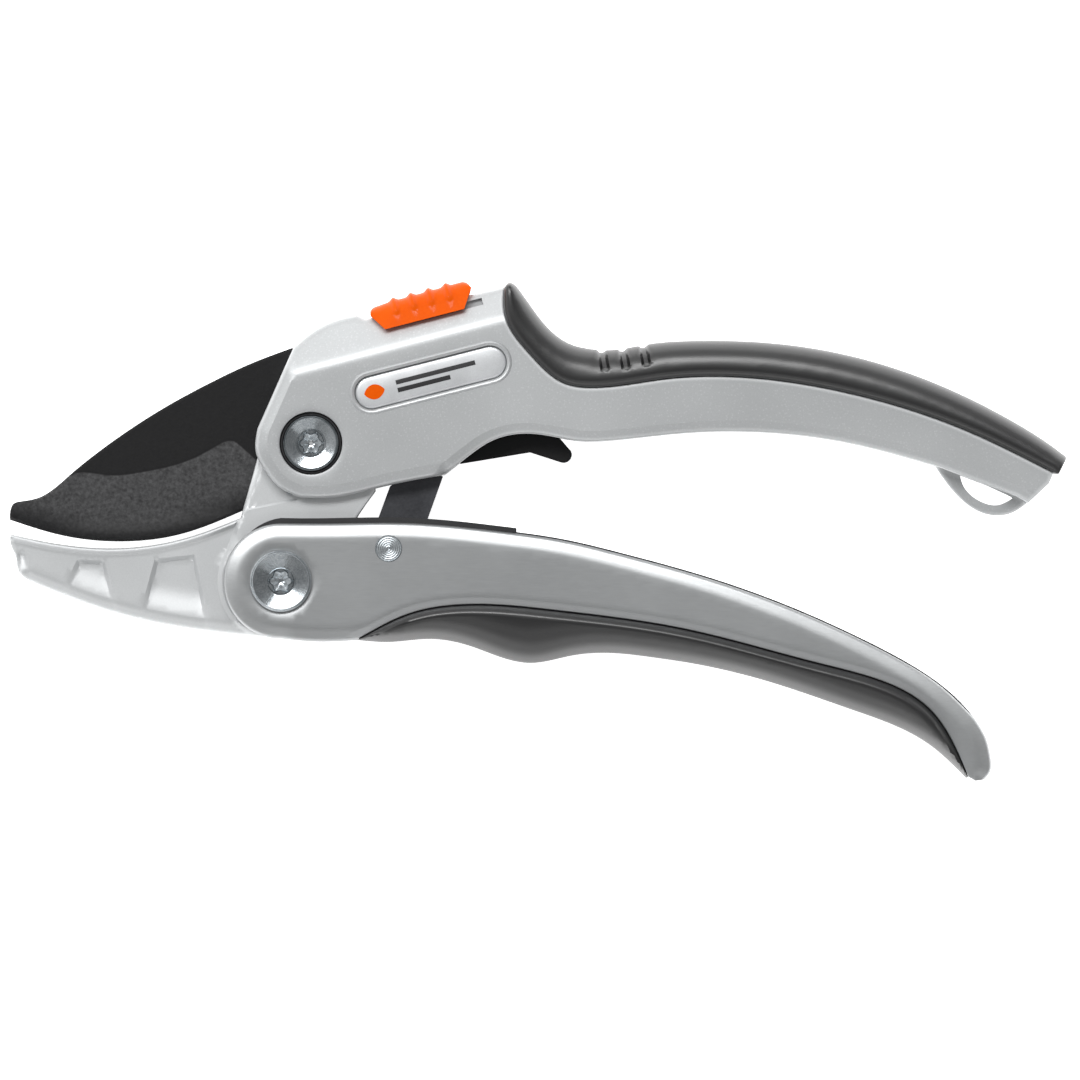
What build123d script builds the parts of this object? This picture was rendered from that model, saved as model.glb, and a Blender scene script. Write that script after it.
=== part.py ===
from build123d import *
import os
from math import atan2, cos, degrees, hypot, radians, sin

# Ratchet anvil pruning shears, lying flat. X runs from the blade to the handles' ends, Y from the
# lower handle to the upper one, Z is the thickness. Outlines are drawn from the blade's pivot.

# ---- overall place and widths across Z, mm ----
pivot_x = -45.4
pivot_y = 17.6
blade_thickness = 3.0
side_gap = 0.1
run_gap = 0.05
cheek_wall = 3.4
liner_wall = 1.7
shell_wall = 1.8
grip_proud = 1.4

blade_half = blade_thickness / 2
slot_half = blade_half + side_gap
neck_half = slot_half + cheek_wall
liner_inner = neck_half + side_gap
liner_outer = liner_inner + liner_wall
body_half = liner_outer + shell_wall
grip_half = body_half + grip_proud
centre = Plane((pivot_x, pivot_y, grip_half))

# ---- lengths ahead of the neck and behind the housing, as drawn and as built ----
blade_start = -14.1
blade_drawn = 46.2
blade_length = 46.2
handle_start = 60.0
handle_drawn = 90.0
handle_length = 90.0

# ---- pivots, from the blade's pivot ----
lower_pivot = (-6.0, -27.5)
strut_pivot = (15.5, -21.0)
strut_tip = (22.7, -1.7)

# ---- screws, bushes and pins ----
sleeve_radius = 4.0
screw_radius = 2.8
upper_head_radius = 5.5
upper_recess_radius = 6.2
upper_recess_depth = 1.8
upper_head_proud = 0.4
lower_head_radius = 6.1
lower_head_height = 1.2
head_bevel = 0.6
drive_radius = 2.3
drive_depth = 1.2
drive_lobe_share = 0.28
seal_ring_sink = 0.5
bush_wall = 1.2
strut_pin_radius = 2.7
strut_pin_proud = 0.2
dowel_radius = 1.0
dowel_depth = 1.6
dowel_places = [(-4.0, -9.3), (9.0, -6.0)]

# ---- blade and tang ----
edge_tip = (-60.3, -15.3)
edge_middle = (-38.0, -19.6)
edge_heel = (-14.1, -13.6)
edge_land = 0.1
bevel_width = 13.4
bevel_heel_angle = -57.0
bevel_sweep = 75.0
tang_top = 6.2
tang_fall = 1.4
tang_rise = 0.6
bevel_overcut = 4.0
notch_gap = 0.35
strut_tip_radius = 1.6
notch_pitch = 4.0
notch_count = 2
notch_back = 5.4
notch_front = 3.0
notch_slope = 1.1
notch_bottom = -12.0

# ---- anvil and neck ----
anvil_gap = 1.3
slot_floor = -13.5
pocket_depth = 1.5

# ---- upper handle ----
tang_slot_half = 3.4
blade_sweep_radius = 20.2
badge_start = (12.1, 10.1)
badge_end = (35.7, 16.1)
badge_radius = 3.4
badge_depth = 0.9
badge_thickness = 0.7
loop_half = 3.0
roof_nose_along = -1.6
roof_nose_rise = 1.2
facet_cut_start = -40.0
facet_cut_length = 100.0
facet_cut_height = 20.0

# ---- lock slide, in its own slanted axes ----
lock_origin = (11.8, 21.95)
lock_angle = 14.5
lock_travel = 3.0
lock_gap = 0.3
facet_low = -3.9
cross_slot_run_out = 8.0
ridge_height = 3.0
ridge_half = 5.0
button_start = 0.95
button_length = 20.85
button_end = button_start + button_length
button_height = 5.4
button_skirt = 8.2
button_top_half = 5.6
rib_first = 5.6
rib_pitch = 3.63
rib_count = 4
rib_width = 1.0
rib_rise = 0.6
rib_side_share = 0.45
saddle_undercut = 1.0
rail_height = 1.2
tongue_start = 8.0
tongue_length = 4.0
tongue_half = 1.5
tongue_drop = 13.5

# ---- lower handle and strut ----
shell_front_radius = 11.5
liner_floor = 1.5
liner_front_lift = 1.1
liner_rear_lift = 0.3
liner_step_x = 41.0
liner_open_lift = 4.0
fork_clear = 1.0
strut_half = 3.0
strut_eye_radius = 5.2
strut_fork_half = 1.0
spring_wire = 0.9
spring_width = 2.6
spring_clear = 0.75
spring_pitch = 1.5
spring_turns = 2
spring_inner = sleeve_radius + spring_clear + spring_wire / 2
spring_pocket_radius = spring_inner + spring_turns * spring_pitch + spring_wire / 2 + spring_clear

os.makedirs("parts", exist_ok=True)
lock_direction = (cos(radians(lock_angle)), sin(radians(lock_angle)), 0)
lock_corner = centre.from_local_coords((lock_origin[0], lock_origin[1], 0))
lock_side = Plane(lock_corner, x_dir=lock_direction, z_dir=(0, 0, 1))
lock_section = Plane(lock_corner, x_dir=(0, 0, -1), z_dir=lock_direction)


def save(piece, label):
    """Label a finished piece and write its STEP file."""
    piece.part.label = label
    export_step(piece.part, f"parts/{label}.step")


def fit(*points):
    """Stretch drawn points to the blade's length ahead of the neck and the handles' behind the housing."""
    fitted = []
    for x, y in points:
        if x > handle_start:
            x = handle_start + (x - handle_start) * handle_length / handle_drawn
        if x < blade_start:
            x = blade_start + (x - blade_start) * blade_length / blade_drawn
        fitted.append((x, y))
    return fitted


def lock_point(along, height):
    """A point of the lock's slanted axes, in the outlines' axes."""
    turn = radians(lock_angle)
    return (lock_origin[0] + along * cos(turn) - height * sin(turn),
            lock_origin[1] + along * sin(turn) + height * cos(turn))


def facet_half(height):
    """Half width of the housing's slanted top at a height above the lock's base line."""
    share = (height - facet_low) / (ridge_height - facet_low)
    return body_half + (ridge_half - body_half) * share


def badge_slot(radius):
    """A stadium along the badge's axis."""
    with Locations(((badge_start[0] + badge_end[0]) / 2, (badge_start[1] + badge_end[1]) / 2)):
        run_x = badge_end[0] - badge_start[0]
        run_y = badge_end[1] - badge_start[1]
        SlotCenterToCenter(hypot(run_x, run_y), 2 * radius, rotation=degrees(atan2(run_y, run_x)))


# ================= upper handle: cast aluminium housing, handle and hanging loop =================
grip_seam = fit((38.6, 31.2), (38.9, 24.9), (43.9, 17.5), (50.7, 11.9), (56.3, 11.1), (69.7, 12.7),
                (89.5, 12.9), (109.3, 9.5), (129.3, 3.1), (148.1, -5.9))
handle_belly = fit((31.5, -2.5), (36.1, 0.5), (44.3, 1.9), (53.1, 0.5), (61.7, 0.7), (75.7, 2.1),
                   (91.7, 2.1), (107.7, 0.0), (124.7, -4.5))
loop_ends = fit((143.1, -11.9), (140.9, -10.6), (140.9, -9.2), (126.0, -3.2))
loop_outer = fit((124.7, -4.5), (129.9, -11.1), (134.9, -14.1), (139.7, -14.0), (143.1, -11.9))
loop_inner = fit((140.2, -11.0), (137.4, -12.3), (133.7, -11.6), (130.1, -8.1), (129.6, -6.4))
loop_inner_top = fit((130.4, -6.3), (140.0, -10.7))
housing_jaw = [(-10.7, 2.9), (-11.0, -1.9), (-9.3, -5.3), (-5.9, -9.1), (-2.3, -10.8)]

with BuildPart() as upper_handle:
    with BuildSketch(centre):
        with BuildLine():
            nose = Spline((-3.5, 19.1), (0.3, 22.3), (5.5, 24.8),
                          lock_point(roof_nose_along, ridge_height + roof_nose_rise))
            roof = Polyline(nose @ 1, lock_point(-lock_gap, ridge_height), grip_seam[0])
            seam = Spline(*grip_seam)
            tail = Polyline(seam @ 1, loop_ends[0], loop_ends[1], handle_belly[-1])
            belly = Spline(*reversed(handle_belly))
            step = Line(belly @ 1, (26.7, -6.3))
            under = Spline(step @ 1, (14.1, -8.7), (3.0, -10.9), housing_jaw[-1])
            jaw = Spline(*reversed(housing_jaw))
            Line(jaw @ 1, nose @ 0)
        make_face()
    extrude(amount=body_half, both=True)
    # slanted top on both sides, along the lock's line
    with BuildSketch(lock_section.offset(facet_cut_start)):
        for side in (1, -1):
            with BuildLine():
                Polyline((side * body_half, facet_low),
                         (side * facet_half(facet_cut_height), facet_cut_height),
                         (side * 2 * body_half, facet_cut_height),
                         (side * 2 * body_half, facet_low), close=True)
            make_face()
    extrude(amount=facet_cut_length, mode=Mode.SUBTRACT)
    # pocket for the neck
    with BuildSketch(centre):
        with BuildLine():
            Polyline((-20, -20), (-20, 6), (-6, 12), (4, 12.5), (13.8, 8.5), (13.8, -20), close=True)
        make_face()
    extrude(amount=neck_half, both=True, mode=Mode.SUBTRACT)
    # slot swept by the blade
    with BuildSketch(centre):
        Circle(blade_sweep_radius)
        with BuildLine():
            Polyline((0, 0), (-30, 12), (-30, -30), (0, -30), close=True)
        make_face()
    extrude(amount=slot_half, both=True, mode=Mode.SUBTRACT)
    # slot swept by the tang and the strut
    with BuildSketch(centre):
        with BuildLine():
            Polyline((10, -20), (10, 16), (17, 18.5), (29, 19.5), (40, 9), (48, 8.6), (55.2, 0.4),
                     (55.2, -20), close=True)
        make_face()
    extrude(amount=tang_slot_half, both=True, mode=Mode.SUBTRACT)
    # pivot hole with a recess for each head
    with BuildSketch(centre):
        Circle(sleeve_radius)
    extrude(amount=body_half, both=True, mode=Mode.SUBTRACT)
    with BuildSketch(centre.offset(body_half - upper_recess_depth)):
        Circle(upper_recess_radius)
    extrude(amount=2 * upper_recess_depth, mode=Mode.SUBTRACT)
    with BuildSketch(centre.offset(upper_recess_depth - body_half)):
        Circle(upper_recess_radius)
    extrude(amount=-2 * upper_recess_depth, mode=Mode.SUBTRACT)
    # dowel holes through the housing's walls
    with BuildSketch(centre):
        with Locations(*dowel_places):
            Circle(dowel_radius)
    extrude(amount=body_half - dowel_depth, both=True, mode=Mode.SUBTRACT)
    # recess for the badge
    with BuildSketch(centre.offset(body_half)):
        badge_slot(badge_radius)
    extrude(amount=-badge_depth, mode=Mode.SUBTRACT)
    # the lock's cross slot and the tongue's slot below it
    with BuildSketch(lock_side):
        with Locations((tongue_start - lock_gap, -side_gap)):
            Rectangle(tongue_length + lock_travel + 2 * lock_gap + cross_slot_run_out,
                      rail_height + 2 * side_gap, align=(Align.MIN, Align.MIN))
    extrude(amount=2 * body_half, both=True, mode=Mode.SUBTRACT)
    with BuildSketch(lock_side):
        with Locations((tongue_start - lock_gap, rail_height)):
            Rectangle(tongue_length + lock_travel + 2 * lock_gap, 2 * tongue_drop,
                      align=(Align.MIN, Align.MAX))
    extrude(amount=tongue_half + lock_gap, both=True, mode=Mode.SUBTRACT)
    # hanging loop under the handle's end
    with BuildSketch(centre):
        with BuildLine():
            outer = Spline(*loop_outer)
            Polyline(outer @ 1, loop_ends[2], loop_ends[3], outer @ 0)
        make_face()
        with BuildLine():
            hole = Spline(*loop_inner)
            Polyline(hole @ 1, *loop_inner_top, hole @ 0)
        make_face(mode=Mode.SUBTRACT)
    extrude(amount=loop_half, both=True)
save(upper_handle, "upper_handle")

# ================= upper grip: soft plastic over the handle's back =================
grip_back = fit((39.9, 32.3), (47.7, 22.7), (55.7, 18.9), (67.7, 19.9), (83.7, 20.5), (99.7, 19.1),
                (115.7, 15.3), (131.7, 8.9), (150.9, -2.7))

with BuildPart() as upper_grip:
    with BuildSketch(centre):
        with BuildLine():
            low = Spline(*grip_seam)
            back = Spline(*grip_back)
            Line(low @ 0, back @ 0)
            Line(low @ 1, back @ 1)
        make_face()
    extrude(amount=grip_half, both=True)
save(upper_grip, "upper_grip")

# ================= anvil body: anvil bar with a two-cheek neck =================
anvil_face = fit((-60.3, -18.1), (edge_middle[0], edge_middle[1] - anvil_gap),
                 (edge_heel[0], edge_heel[1] - anvil_gap))
anvil_keel = fit((-20.3, -37.5), (-40.3, -33.5), (-56.3, -27.5))
anvil_nose = fit((-58.9, -25.0), (-58.9, -23.3))
anvil_pockets = [
    fit((-57.0, -22.3), (-54.5, -22.7), (-53.0, -27.0), (-56.0, -25.9)),
    fit((-46.7, -23.3), (-41.1, -23.6), (-39.3, -31.6), (-49.3, -28.5)),
    fit((-31.3, -23.3), (-23.1, -22.3), (-20.5, -35.0), (-33.9, -32.9)),
]

with BuildPart() as anvil_body:
    with BuildSketch(centre):
        with BuildLine():
            top = ThreePointArc(*anvil_face)
            cheek = Spline(top @ 1, (-10.9, -3.5), (-8.2, 7.0))
            crown = Polyline(cheek @ 1, (-5.5, 11.0), (3.5, 11.5), (12.8, 7.5), (12.8, -9.6))
            throat = Spline(crown @ 1, (9.7, -13.9), (6.4, -20.0))
            round_end = ThreePointArc(throat @ 1, (5.4, -27.5), (lower_pivot[0], -38.9))
            keel = Spline(round_end @ 1, *anvil_keel)
            Polyline(keel @ 1, *anvil_nose, top @ 0)
        make_face()
    extrude(amount=neck_half, both=True)
    # slot for the blade between the cheeks
    with BuildSketch(centre):
        with BuildLine():
            Polyline((-14.1, slot_floor - anvil_gap), (-8.0, slot_floor), (30, slot_floor), (30, 30),
                     (-30, 30), (-30, slot_floor - anvil_gap), close=True)
        make_face()
    extrude(amount=slot_half, both=True, mode=Mode.SUBTRACT)
    # weight-saving pockets on both faces of the anvil
    for side in (1, -1):
        with BuildSketch(centre.offset(side * neck_half)):
            for pocket in anvil_pockets:
                Polygon(*pocket, align=None)
        extrude(amount=-side * pocket_depth, mode=Mode.SUBTRACT)
    # holes for both pivots, the dowels and the opening spring
    with BuildSketch(centre):
        Circle(sleeve_radius)
        with Locations(lower_pivot):
            Circle(sleeve_radius)
        with Locations(*dowel_places):
            Circle(dowel_radius)
    extrude(amount=neck_half, both=True, mode=Mode.SUBTRACT)
    with BuildSketch(centre.offset(neck_half)):
        with Locations(lower_pivot):
            Circle(spring_pocket_radius)
            Circle(spring_inner - spring_wire / 2 - side_gap, mode=Mode.SUBTRACT)
    extrude(amount=-spring_width - side_gap, mode=Mode.SUBTRACT)
save(anvil_body, "anvil_body")

# ================= blade: coated steel with a notched tang =================
blade_back = fit((-20.3, 12.1), (-36.3, 2.8), (-52.1, -9.8))
blade_nose = fit((-53.9, -10.9), (-58.3, -11.6))

with BuildPart() as blade:
    with BuildSketch(centre):
        with BuildLine():
            edge = ThreePointArc(*fit(edge_tip, edge_middle, edge_heel))
            heel = Spline(edge @ 1, (-8.0, -11.6), (1.0, -9.8), (9.0, -7.0))
            under = Line(heel @ 1, (14.0, -4.2))
            hook = Polyline(under @ 1, (28.8, -3.0), (29.8, -4.1), (43.7, -1.8), (49.9, -3.8))
            tip = ThreePointArc(hook @ 1, (52.1, -2.9), (51.6, -1.2))
            tang = Polyline(tip @ 1, (49.3, 1.5), (45.0, tang_top - tang_fall), (30.0, tang_top),
                            (14.0, tang_top + tang_rise))
            crown = Spline(tang @ 1, (10.0, 9.0), (3.5, 16.0), (-3.9, 19.1))
            back = Spline(crown @ 1, *blade_back)
            nose = Spline(back @ 1, *blade_nose)
            Polyline(nose @ 1, *fit((-59.7, -12.1)), edge @ 0)
        make_face()
    extrude(amount=blade_half, both=True)
    # ratchet notches: the strut's own notch and those nearer the pivot
    tip_reach = hypot(*strut_tip)
    with BuildSketch(centre):
        for step in range(notch_count + 1):
            share = 1 - step * notch_pitch / tip_reach
            place = (strut_tip[0] * share, strut_tip[1] * share)
            with Locations(place):
                Circle(strut_tip_radius + notch_gap)
            with BuildLine():
                Polyline((place[0] - strut_tip_radius - notch_gap, place[1]),
                         (place[0] + strut_tip_radius + notch_gap, place[1]),
                         (place[0] + notch_back, place[1] - notch_slope),
                         (place[0] + notch_back, notch_bottom),
                         (place[0] - notch_front, notch_bottom), close=True)
            make_face()
    extrude(amount=blade_half, both=True, mode=Mode.SUBTRACT)
    # bevel on both sides: a cone about the cutting edge's own centre
    ring_centre = edge.arc_center
    ring_radius = edge.radius
    heel_direction = (cos(radians(bevel_heel_angle)), sin(radians(bevel_heel_angle)), 0)
    ring_normal = Vector(heel_direction).cross(Vector(0, 0, 1))
    ring_plane = Plane(ring_centre, x_dir=heel_direction, z_dir=ring_normal)
    with BuildSketch(ring_plane):
        for side in (1, -1):
            with BuildLine():
                Polyline((ring_radius - bevel_width, side * blade_half), (ring_radius, side * edge_land),
                         (ring_radius + bevel_overcut, side * edge_land),
                         (ring_radius + bevel_overcut, side * 2 * blade_half),
                         (ring_radius - bevel_width, side * 2 * blade_half), close=True)
            make_face()
    revolve(axis=Axis(ring_centre, (0, 0, -1)), revolution_arc=bevel_sweep, mode=Mode.SUBTRACT)
    with BuildSketch(centre):
        Circle(sleeve_radius + run_gap + bush_wall)
    extrude(amount=blade_half, both=True, mode=Mode.SUBTRACT)
save(blade, "blade")

with BuildPart() as blade_bush:
    with BuildSketch(centre):
        Circle(sleeve_radius + run_gap + bush_wall)
        Circle(sleeve_radius + run_gap, mode=Mode.SUBTRACT)
    extrude(amount=blade_half, both=True)
save(blade_bush, "blade_bush")


# ================= pivot screws and their sleeve nuts =================
def pivot_set(place, head_radius, head_base, head_height, names):
    """One pivot: a screw with a six-lobe recess, and a headed sleeve nut from the far side."""
    with BuildPart() as screw:
        with BuildSketch(centre.offset(head_base)):
            with Locations(place):
                Circle(head_radius)
        extrude(amount=head_height)
        chamfer(screw.edges().sort_by(Axis.Z)[-1], length=head_bevel, length2=head_bevel)
        with BuildSketch(centre.offset(head_base)):
            with Locations(place):
                Circle(screw_radius)
        extrude(amount=-head_base - neck_half)
        with BuildSketch(centre.offset(head_base + head_height)):
            with Locations(place):
                Circle(drive_radius)
                with PolarLocations(drive_radius, 6):
                    Circle(drive_radius * drive_lobe_share)
        extrude(amount=-drive_depth, mode=Mode.SUBTRACT)
    save(screw, names[0])
    with BuildPart() as nut:
        with BuildSketch(centre.offset(-head_base)):
            with Locations(place):
                Circle(head_radius)
        extrude(amount=-head_height)
        chamfer(nut.edges().sort_by(Axis.Z)[0], length=head_bevel, length2=head_bevel)
        with BuildSketch(centre.offset(-head_base)):
            with Locations(place):
                Circle(sleeve_radius)
        extrude(amount=2 * head_base)
        with BuildSketch(centre.offset(-neck_half)):
            with Locations(place):
                Circle(screw_radius)
        extrude(amount=head_base + neck_half, mode=Mode.SUBTRACT)
    save(nut, names[1])


upper_head_base = body_half - upper_recess_depth
pivot_set((0, 0), upper_head_radius, upper_head_base, upper_recess_depth + upper_head_proud,
          ("pivot_screw", "pivot_nut"))
pivot_set(lower_pivot, lower_head_radius, body_half + side_gap, lower_head_height,
          ("lower_pivot_screw", "lower_pivot_nut"))

with BuildPart() as pivot_seal_ring:
    with BuildSketch(centre.offset(upper_head_base)):
        Circle(upper_recess_radius)
        Circle(upper_head_radius, mode=Mode.SUBTRACT)
    extrude(amount=upper_recess_depth - seal_ring_sink)
save(pivot_seal_ring, "pivot_seal_ring")

with BuildPart() as handle_dowels:
    with BuildSketch(centre.offset(slot_half)):
        with Locations(*dowel_places):
            Circle(dowel_radius)
    extrude(amount=body_half - dowel_depth - slot_half)
    mirror(about=centre)
save(handle_dowels, "handle_dowels")

with BuildPart() as badge:
    with BuildSketch(centre.offset(body_half - badge_depth)):
        badge_slot(badge_radius)
    extrude(amount=badge_thickness)
save(badge, "badge")

# ================= opening spring: a flat spiral in the neck's pocket =================
with BuildPart() as opening_spring:
    with BuildSketch(centre.offset(neck_half - spring_width)):
        with BuildLine():
            radius = spring_inner
            start = (lower_pivot[0] + radius, lower_pivot[1])
            for half_turn in range(2 * spring_turns):
                side = 1 if half_turn % 2 == 0 else -1
                reach = 2 * radius + spring_pitch / 2
                end = (start[0] - side * reach, lower_pivot[1])
                middle = ((start[0] + end[0]) / 2, lower_pivot[1] + side * reach / 2)
                ThreePointArc(start, middle, end)
                start = end
                radius = radius + spring_pitch / 2
        trace(line_width=spring_wire)
    extrude(amount=spring_width)
save(opening_spring, "opening_spring")


# ================= lock slide =================
def button_outline(growth):
    """Outside of the button's saddle section, grown outwards by a rib's rise."""
    Polygon((-button_skirt - growth, 0), (-button_top_half - growth, button_height + growth),
            (button_top_half + growth, button_height + growth), (button_skirt + growth, 0), align=None)


with BuildPart() as lock_button:
    with BuildSketch(lock_section.offset(button_start)):
        button_outline(0)
    extrude(amount=button_length)
    with BuildSketch(lock_side):
        with BuildLine():
            Polyline((button_start + 2.15, 0), (button_start, 3.2), (button_start + 1.2, 4.6),
                     (button_end - 1.4, button_height), (button_end, 4.2), (button_end - 2.4, 0),
                     close=True)
        make_face()
    extrude(amount=2 * button_skirt, both=True, mode=Mode.INTERSECT)
    for rib in range(rib_count):
        with BuildSketch(lock_section.offset(rib_first + rib * rib_pitch)):
            button_outline(rib_rise)
            Rectangle(4 * button_skirt, 2 * button_height * rib_side_share, mode=Mode.SUBTRACT)
        extrude(amount=rib_width)
    with BuildSketch(lock_section):
        with BuildLine():
            Polyline((-facet_half(0) - lock_gap, -saddle_undercut), (-facet_half(0) - lock_gap, 0),
                     (-ridge_half - lock_gap, ridge_height + lock_gap),
                     (ridge_half + lock_gap, ridge_height + lock_gap),
                     (facet_half(0) + lock_gap, 0), (facet_half(0) + lock_gap, -saddle_undercut),
                     close=True)
        make_face()
    extrude(amount=2 * button_length, both=True, mode=Mode.SUBTRACT)
    with BuildSketch(lock_side):
        with Locations((tongue_start, 0)):
            Rectangle(tongue_length, rail_height, align=(Align.MIN, Align.MIN))
    extrude(amount=facet_half(0) + lock_gap, both=True)
save(lock_button, "lock_button")

with BuildPart() as lock_tongue:
    with BuildSketch(lock_side):
        with Locations((tongue_start, 0)):
            Rectangle(tongue_length, tongue_drop, align=(Align.MIN, Align.MAX))
    extrude(amount=tongue_half, both=True)
save(lock_tongue, "lock_tongue")

# ================= lower handle: folded shell, liner and grip =================
shell_top = fit((5.7, -16.0), (17.7, -15.9), (27.7, -16.5), (37.7, -17.6), (49.7, -19.3), (61.7, -22.1),
                (77.7, -26.5), (97.7, -33.7), (107.7, -38.2), (117.7, -43.3), (126.0, -48.7), (132.4, -54.9))
shell_end = fit((135.1, -61.9), (135.5, -67.0), (131.1, -66.8))
shell_seam = fit((9.1, -39.3), (19.9, -33.9), (28.5, -32.3), (48.5, -33.3), (74.3, -37.0), (101.3, -43.9),
                 (123.7, -53.3), (131.1, -66.5))
grip_belly = fit((9.1, -39.3), (15.7, -39.6), (24.0, -39.1), (31.7, -40.5), (43.2, -43.8), (57.0, -42.0),
                 (75.7, -43.9), (99.7, -50.1), (123.7, -60.3), (130.9, -66.9))


def channel_face(lift, inset):
    """Side view of the lower handle's channel.

    lift raises its top edge, and inset thickens its floor and ends.
    """
    with BuildLine() as outline:
        cap_top = (lower_pivot[0], lower_pivot[1] + shell_front_radius + lift)
        cap_low = (lower_pivot[0], lower_pivot[1] - shell_front_radius + inset)
        cap = ThreePointArc(cap_low, (lower_pivot[0] - shell_front_radius + inset, lower_pivot[1]), cap_top)
        top = Spline(cap @ 1, *[(x, y + lift) for x, y in shell_top[:-1]], shell_top[-1])
        end = Polyline(top @ 1, (shell_end[0][0] - inset, shell_end[0][1]),
                       (shell_end[1][0] - inset, shell_end[1][1] + inset),
                       (shell_end[2][0], shell_end[2][1] + inset))
        seam = Spline(*[(x, y + inset) for x, y in reversed(shell_seam)])
        Line(end @ 1, seam @ 0)
        Line(seam @ 1, cap @ 0)
    make_face(outline.edges())


with BuildPart() as lower_handle_shell:
    with BuildSketch(centre):
        channel_face(0, 0)
    extrude(amount=body_half, both=True)
    with BuildSketch(centre):
        channel_face(0, shell_wall)
        with BuildLine():
            Polyline((-30, -50), (8, -50), (8, -30), (20, -28), (20, -10), (-30, -10), close=True)
        make_face()
        with BuildLine():
            rise = Spline(*shell_top)
            Polyline(rise @ 1, (shell_top[-1][0], 0), (shell_top[0][0], 0), rise @ 0)
        make_face()
    extrude(amount=liner_outer, both=True, mode=Mode.SUBTRACT)
    with BuildSketch(centre):
        with Locations(lower_pivot):
            Circle(sleeve_radius + run_gap)
        with Locations(strut_pivot):
            Circle(strut_pin_radius)
    extrude(amount=body_half, both=True, mode=Mode.SUBTRACT)
save(lower_handle_shell, "lower_handle_shell")

with BuildPart() as channel_liner:
    with BuildSketch(centre):
        channel_face(liner_front_lift, shell_wall)
        with Locations((liner_step_x, lower_pivot[1])):
            Rectangle(2 * handle_start, 2 * handle_start, align=(Align.MAX, Align.CENTER),
                      mode=Mode.INTERSECT)
        channel_face(liner_rear_lift, shell_wall)
    extrude(amount=liner_outer, both=True)
    with BuildSketch(centre):
        channel_face(liner_open_lift, shell_wall + liner_floor)
        with BuildLine():
            Polyline((-30, -50), (9.6, -50), (9.6, -30), (20, -27), (20, -10), (-30, -10), close=True)
        make_face()
    extrude(amount=liner_inner, both=True, mode=Mode.SUBTRACT)
    with BuildSketch(centre):
        with BuildLine():
            Polyline((-30, -50), (9.6, -50), (9.6, -34), (-30, -40), close=True)
        make_face()
    extrude(amount=liner_inner, both=True, mode=Mode.SUBTRACT)
    with BuildSketch(centre):
        with Locations(lower_pivot):
            Circle(sleeve_radius + run_gap)
        with Locations(strut_pivot):
            Circle(strut_pin_radius)
    extrude(amount=body_half, both=True, mode=Mode.SUBTRACT)
save(channel_liner, "channel_liner")

with BuildPart() as lower_grip:
    with BuildSketch(centre):
        with BuildLine():
            seam = Spline(*shell_seam)
            belly = Spline(*grip_belly)
            Line(seam @ 1, belly @ 1)
        make_face()
    extrude(amount=grip_half, both=True)
save(lower_grip, "lower_grip")

with BuildPart() as strut_pin:
    with BuildSketch(centre):
        with Locations(strut_pivot):
            Circle(strut_pin_radius)
    extrude(amount=body_half + strut_pin_proud, both=True)
save(strut_pin, "strut_pin")

# ================= strut: the pawl between the lower handle and the tang =================
with BuildPart() as strut:
    with BuildSketch(centre):
        with BuildLine():
            Polyline((21.2, -1.14), (19.5, -5.6), (15.7, -8.6), (13.4, -14.9), (10.6, -19.2),
                     (12.5, -25.0), (18.5, -25.0), (20.6, -20.5), (23.3, -14.9), (26.3, -6.6),
                     (23.1, -5.2), (24.2, -2.26), close=True)
        make_face()
        with Locations(strut_tip):
            Circle(strut_tip_radius)
        with Locations(strut_pivot):
            Circle(strut_eye_radius)
            Circle(strut_pin_radius + run_gap, mode=Mode.SUBTRACT)
    extrude(amount=strut_half, both=True)
    with BuildSketch(centre):
        with Locations(strut_pivot):
            Circle(strut_eye_radius + fork_clear)
    extrude(amount=strut_fork_half, both=True, mode=Mode.SUBTRACT)
save(strut, "strut")

with BuildPart() as strut_spring:
    with BuildSketch(centre):
        with Locations(strut_pivot):
            Circle(strut_pin_radius + run_gap + 2 * spring_wire)
            Circle(strut_pin_radius + run_gap + spring_wire, mode=Mode.SUBTRACT)
    extrude(amount=strut_fork_half - side_gap, both=True)
save(strut_spring, "strut_spring")
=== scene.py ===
"""Ratchet anvil pruning shears: the visible pieces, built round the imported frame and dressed."""
import logging
import math
from dataclasses import dataclass, replace
from enum import Enum
from typing import Callable, Sequence

import bmesh
import bpy
import numpy as np
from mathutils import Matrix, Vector
from mathutils.geometry import delaunay_2d_cdt


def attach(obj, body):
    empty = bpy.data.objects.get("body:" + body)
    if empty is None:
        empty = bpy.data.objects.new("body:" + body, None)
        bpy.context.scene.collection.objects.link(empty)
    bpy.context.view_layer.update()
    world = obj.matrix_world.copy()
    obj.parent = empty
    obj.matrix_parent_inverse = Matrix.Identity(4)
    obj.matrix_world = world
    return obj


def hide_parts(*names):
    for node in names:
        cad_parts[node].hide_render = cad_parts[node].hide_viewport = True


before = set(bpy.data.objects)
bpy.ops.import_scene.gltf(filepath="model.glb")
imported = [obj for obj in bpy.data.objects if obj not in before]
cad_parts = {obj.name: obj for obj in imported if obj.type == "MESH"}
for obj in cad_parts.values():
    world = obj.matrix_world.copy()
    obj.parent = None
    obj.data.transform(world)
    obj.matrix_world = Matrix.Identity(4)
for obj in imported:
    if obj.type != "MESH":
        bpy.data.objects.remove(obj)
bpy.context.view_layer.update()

logging.basicConfig(level=logging.INFO, format="%(name)s: %(message)s")
log = logging.getLogger("shears")

Points = np.ndarray
Point = tuple[float, float]
MM = 0.001
# The blade's pivot in the frame and the mid-plane's height over the floor, in mm.
PIVOT = np.array([-45.4, 17.6])
MID_HEIGHT = 10.0
# Points of a line nearer than this are one point, in mm, and the smallest length divided by.
SAME_POINT = 0.05
SMALLEST = 1e-12
# How many points a distance is worked out for at a time.
BATCH = 3000
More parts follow.
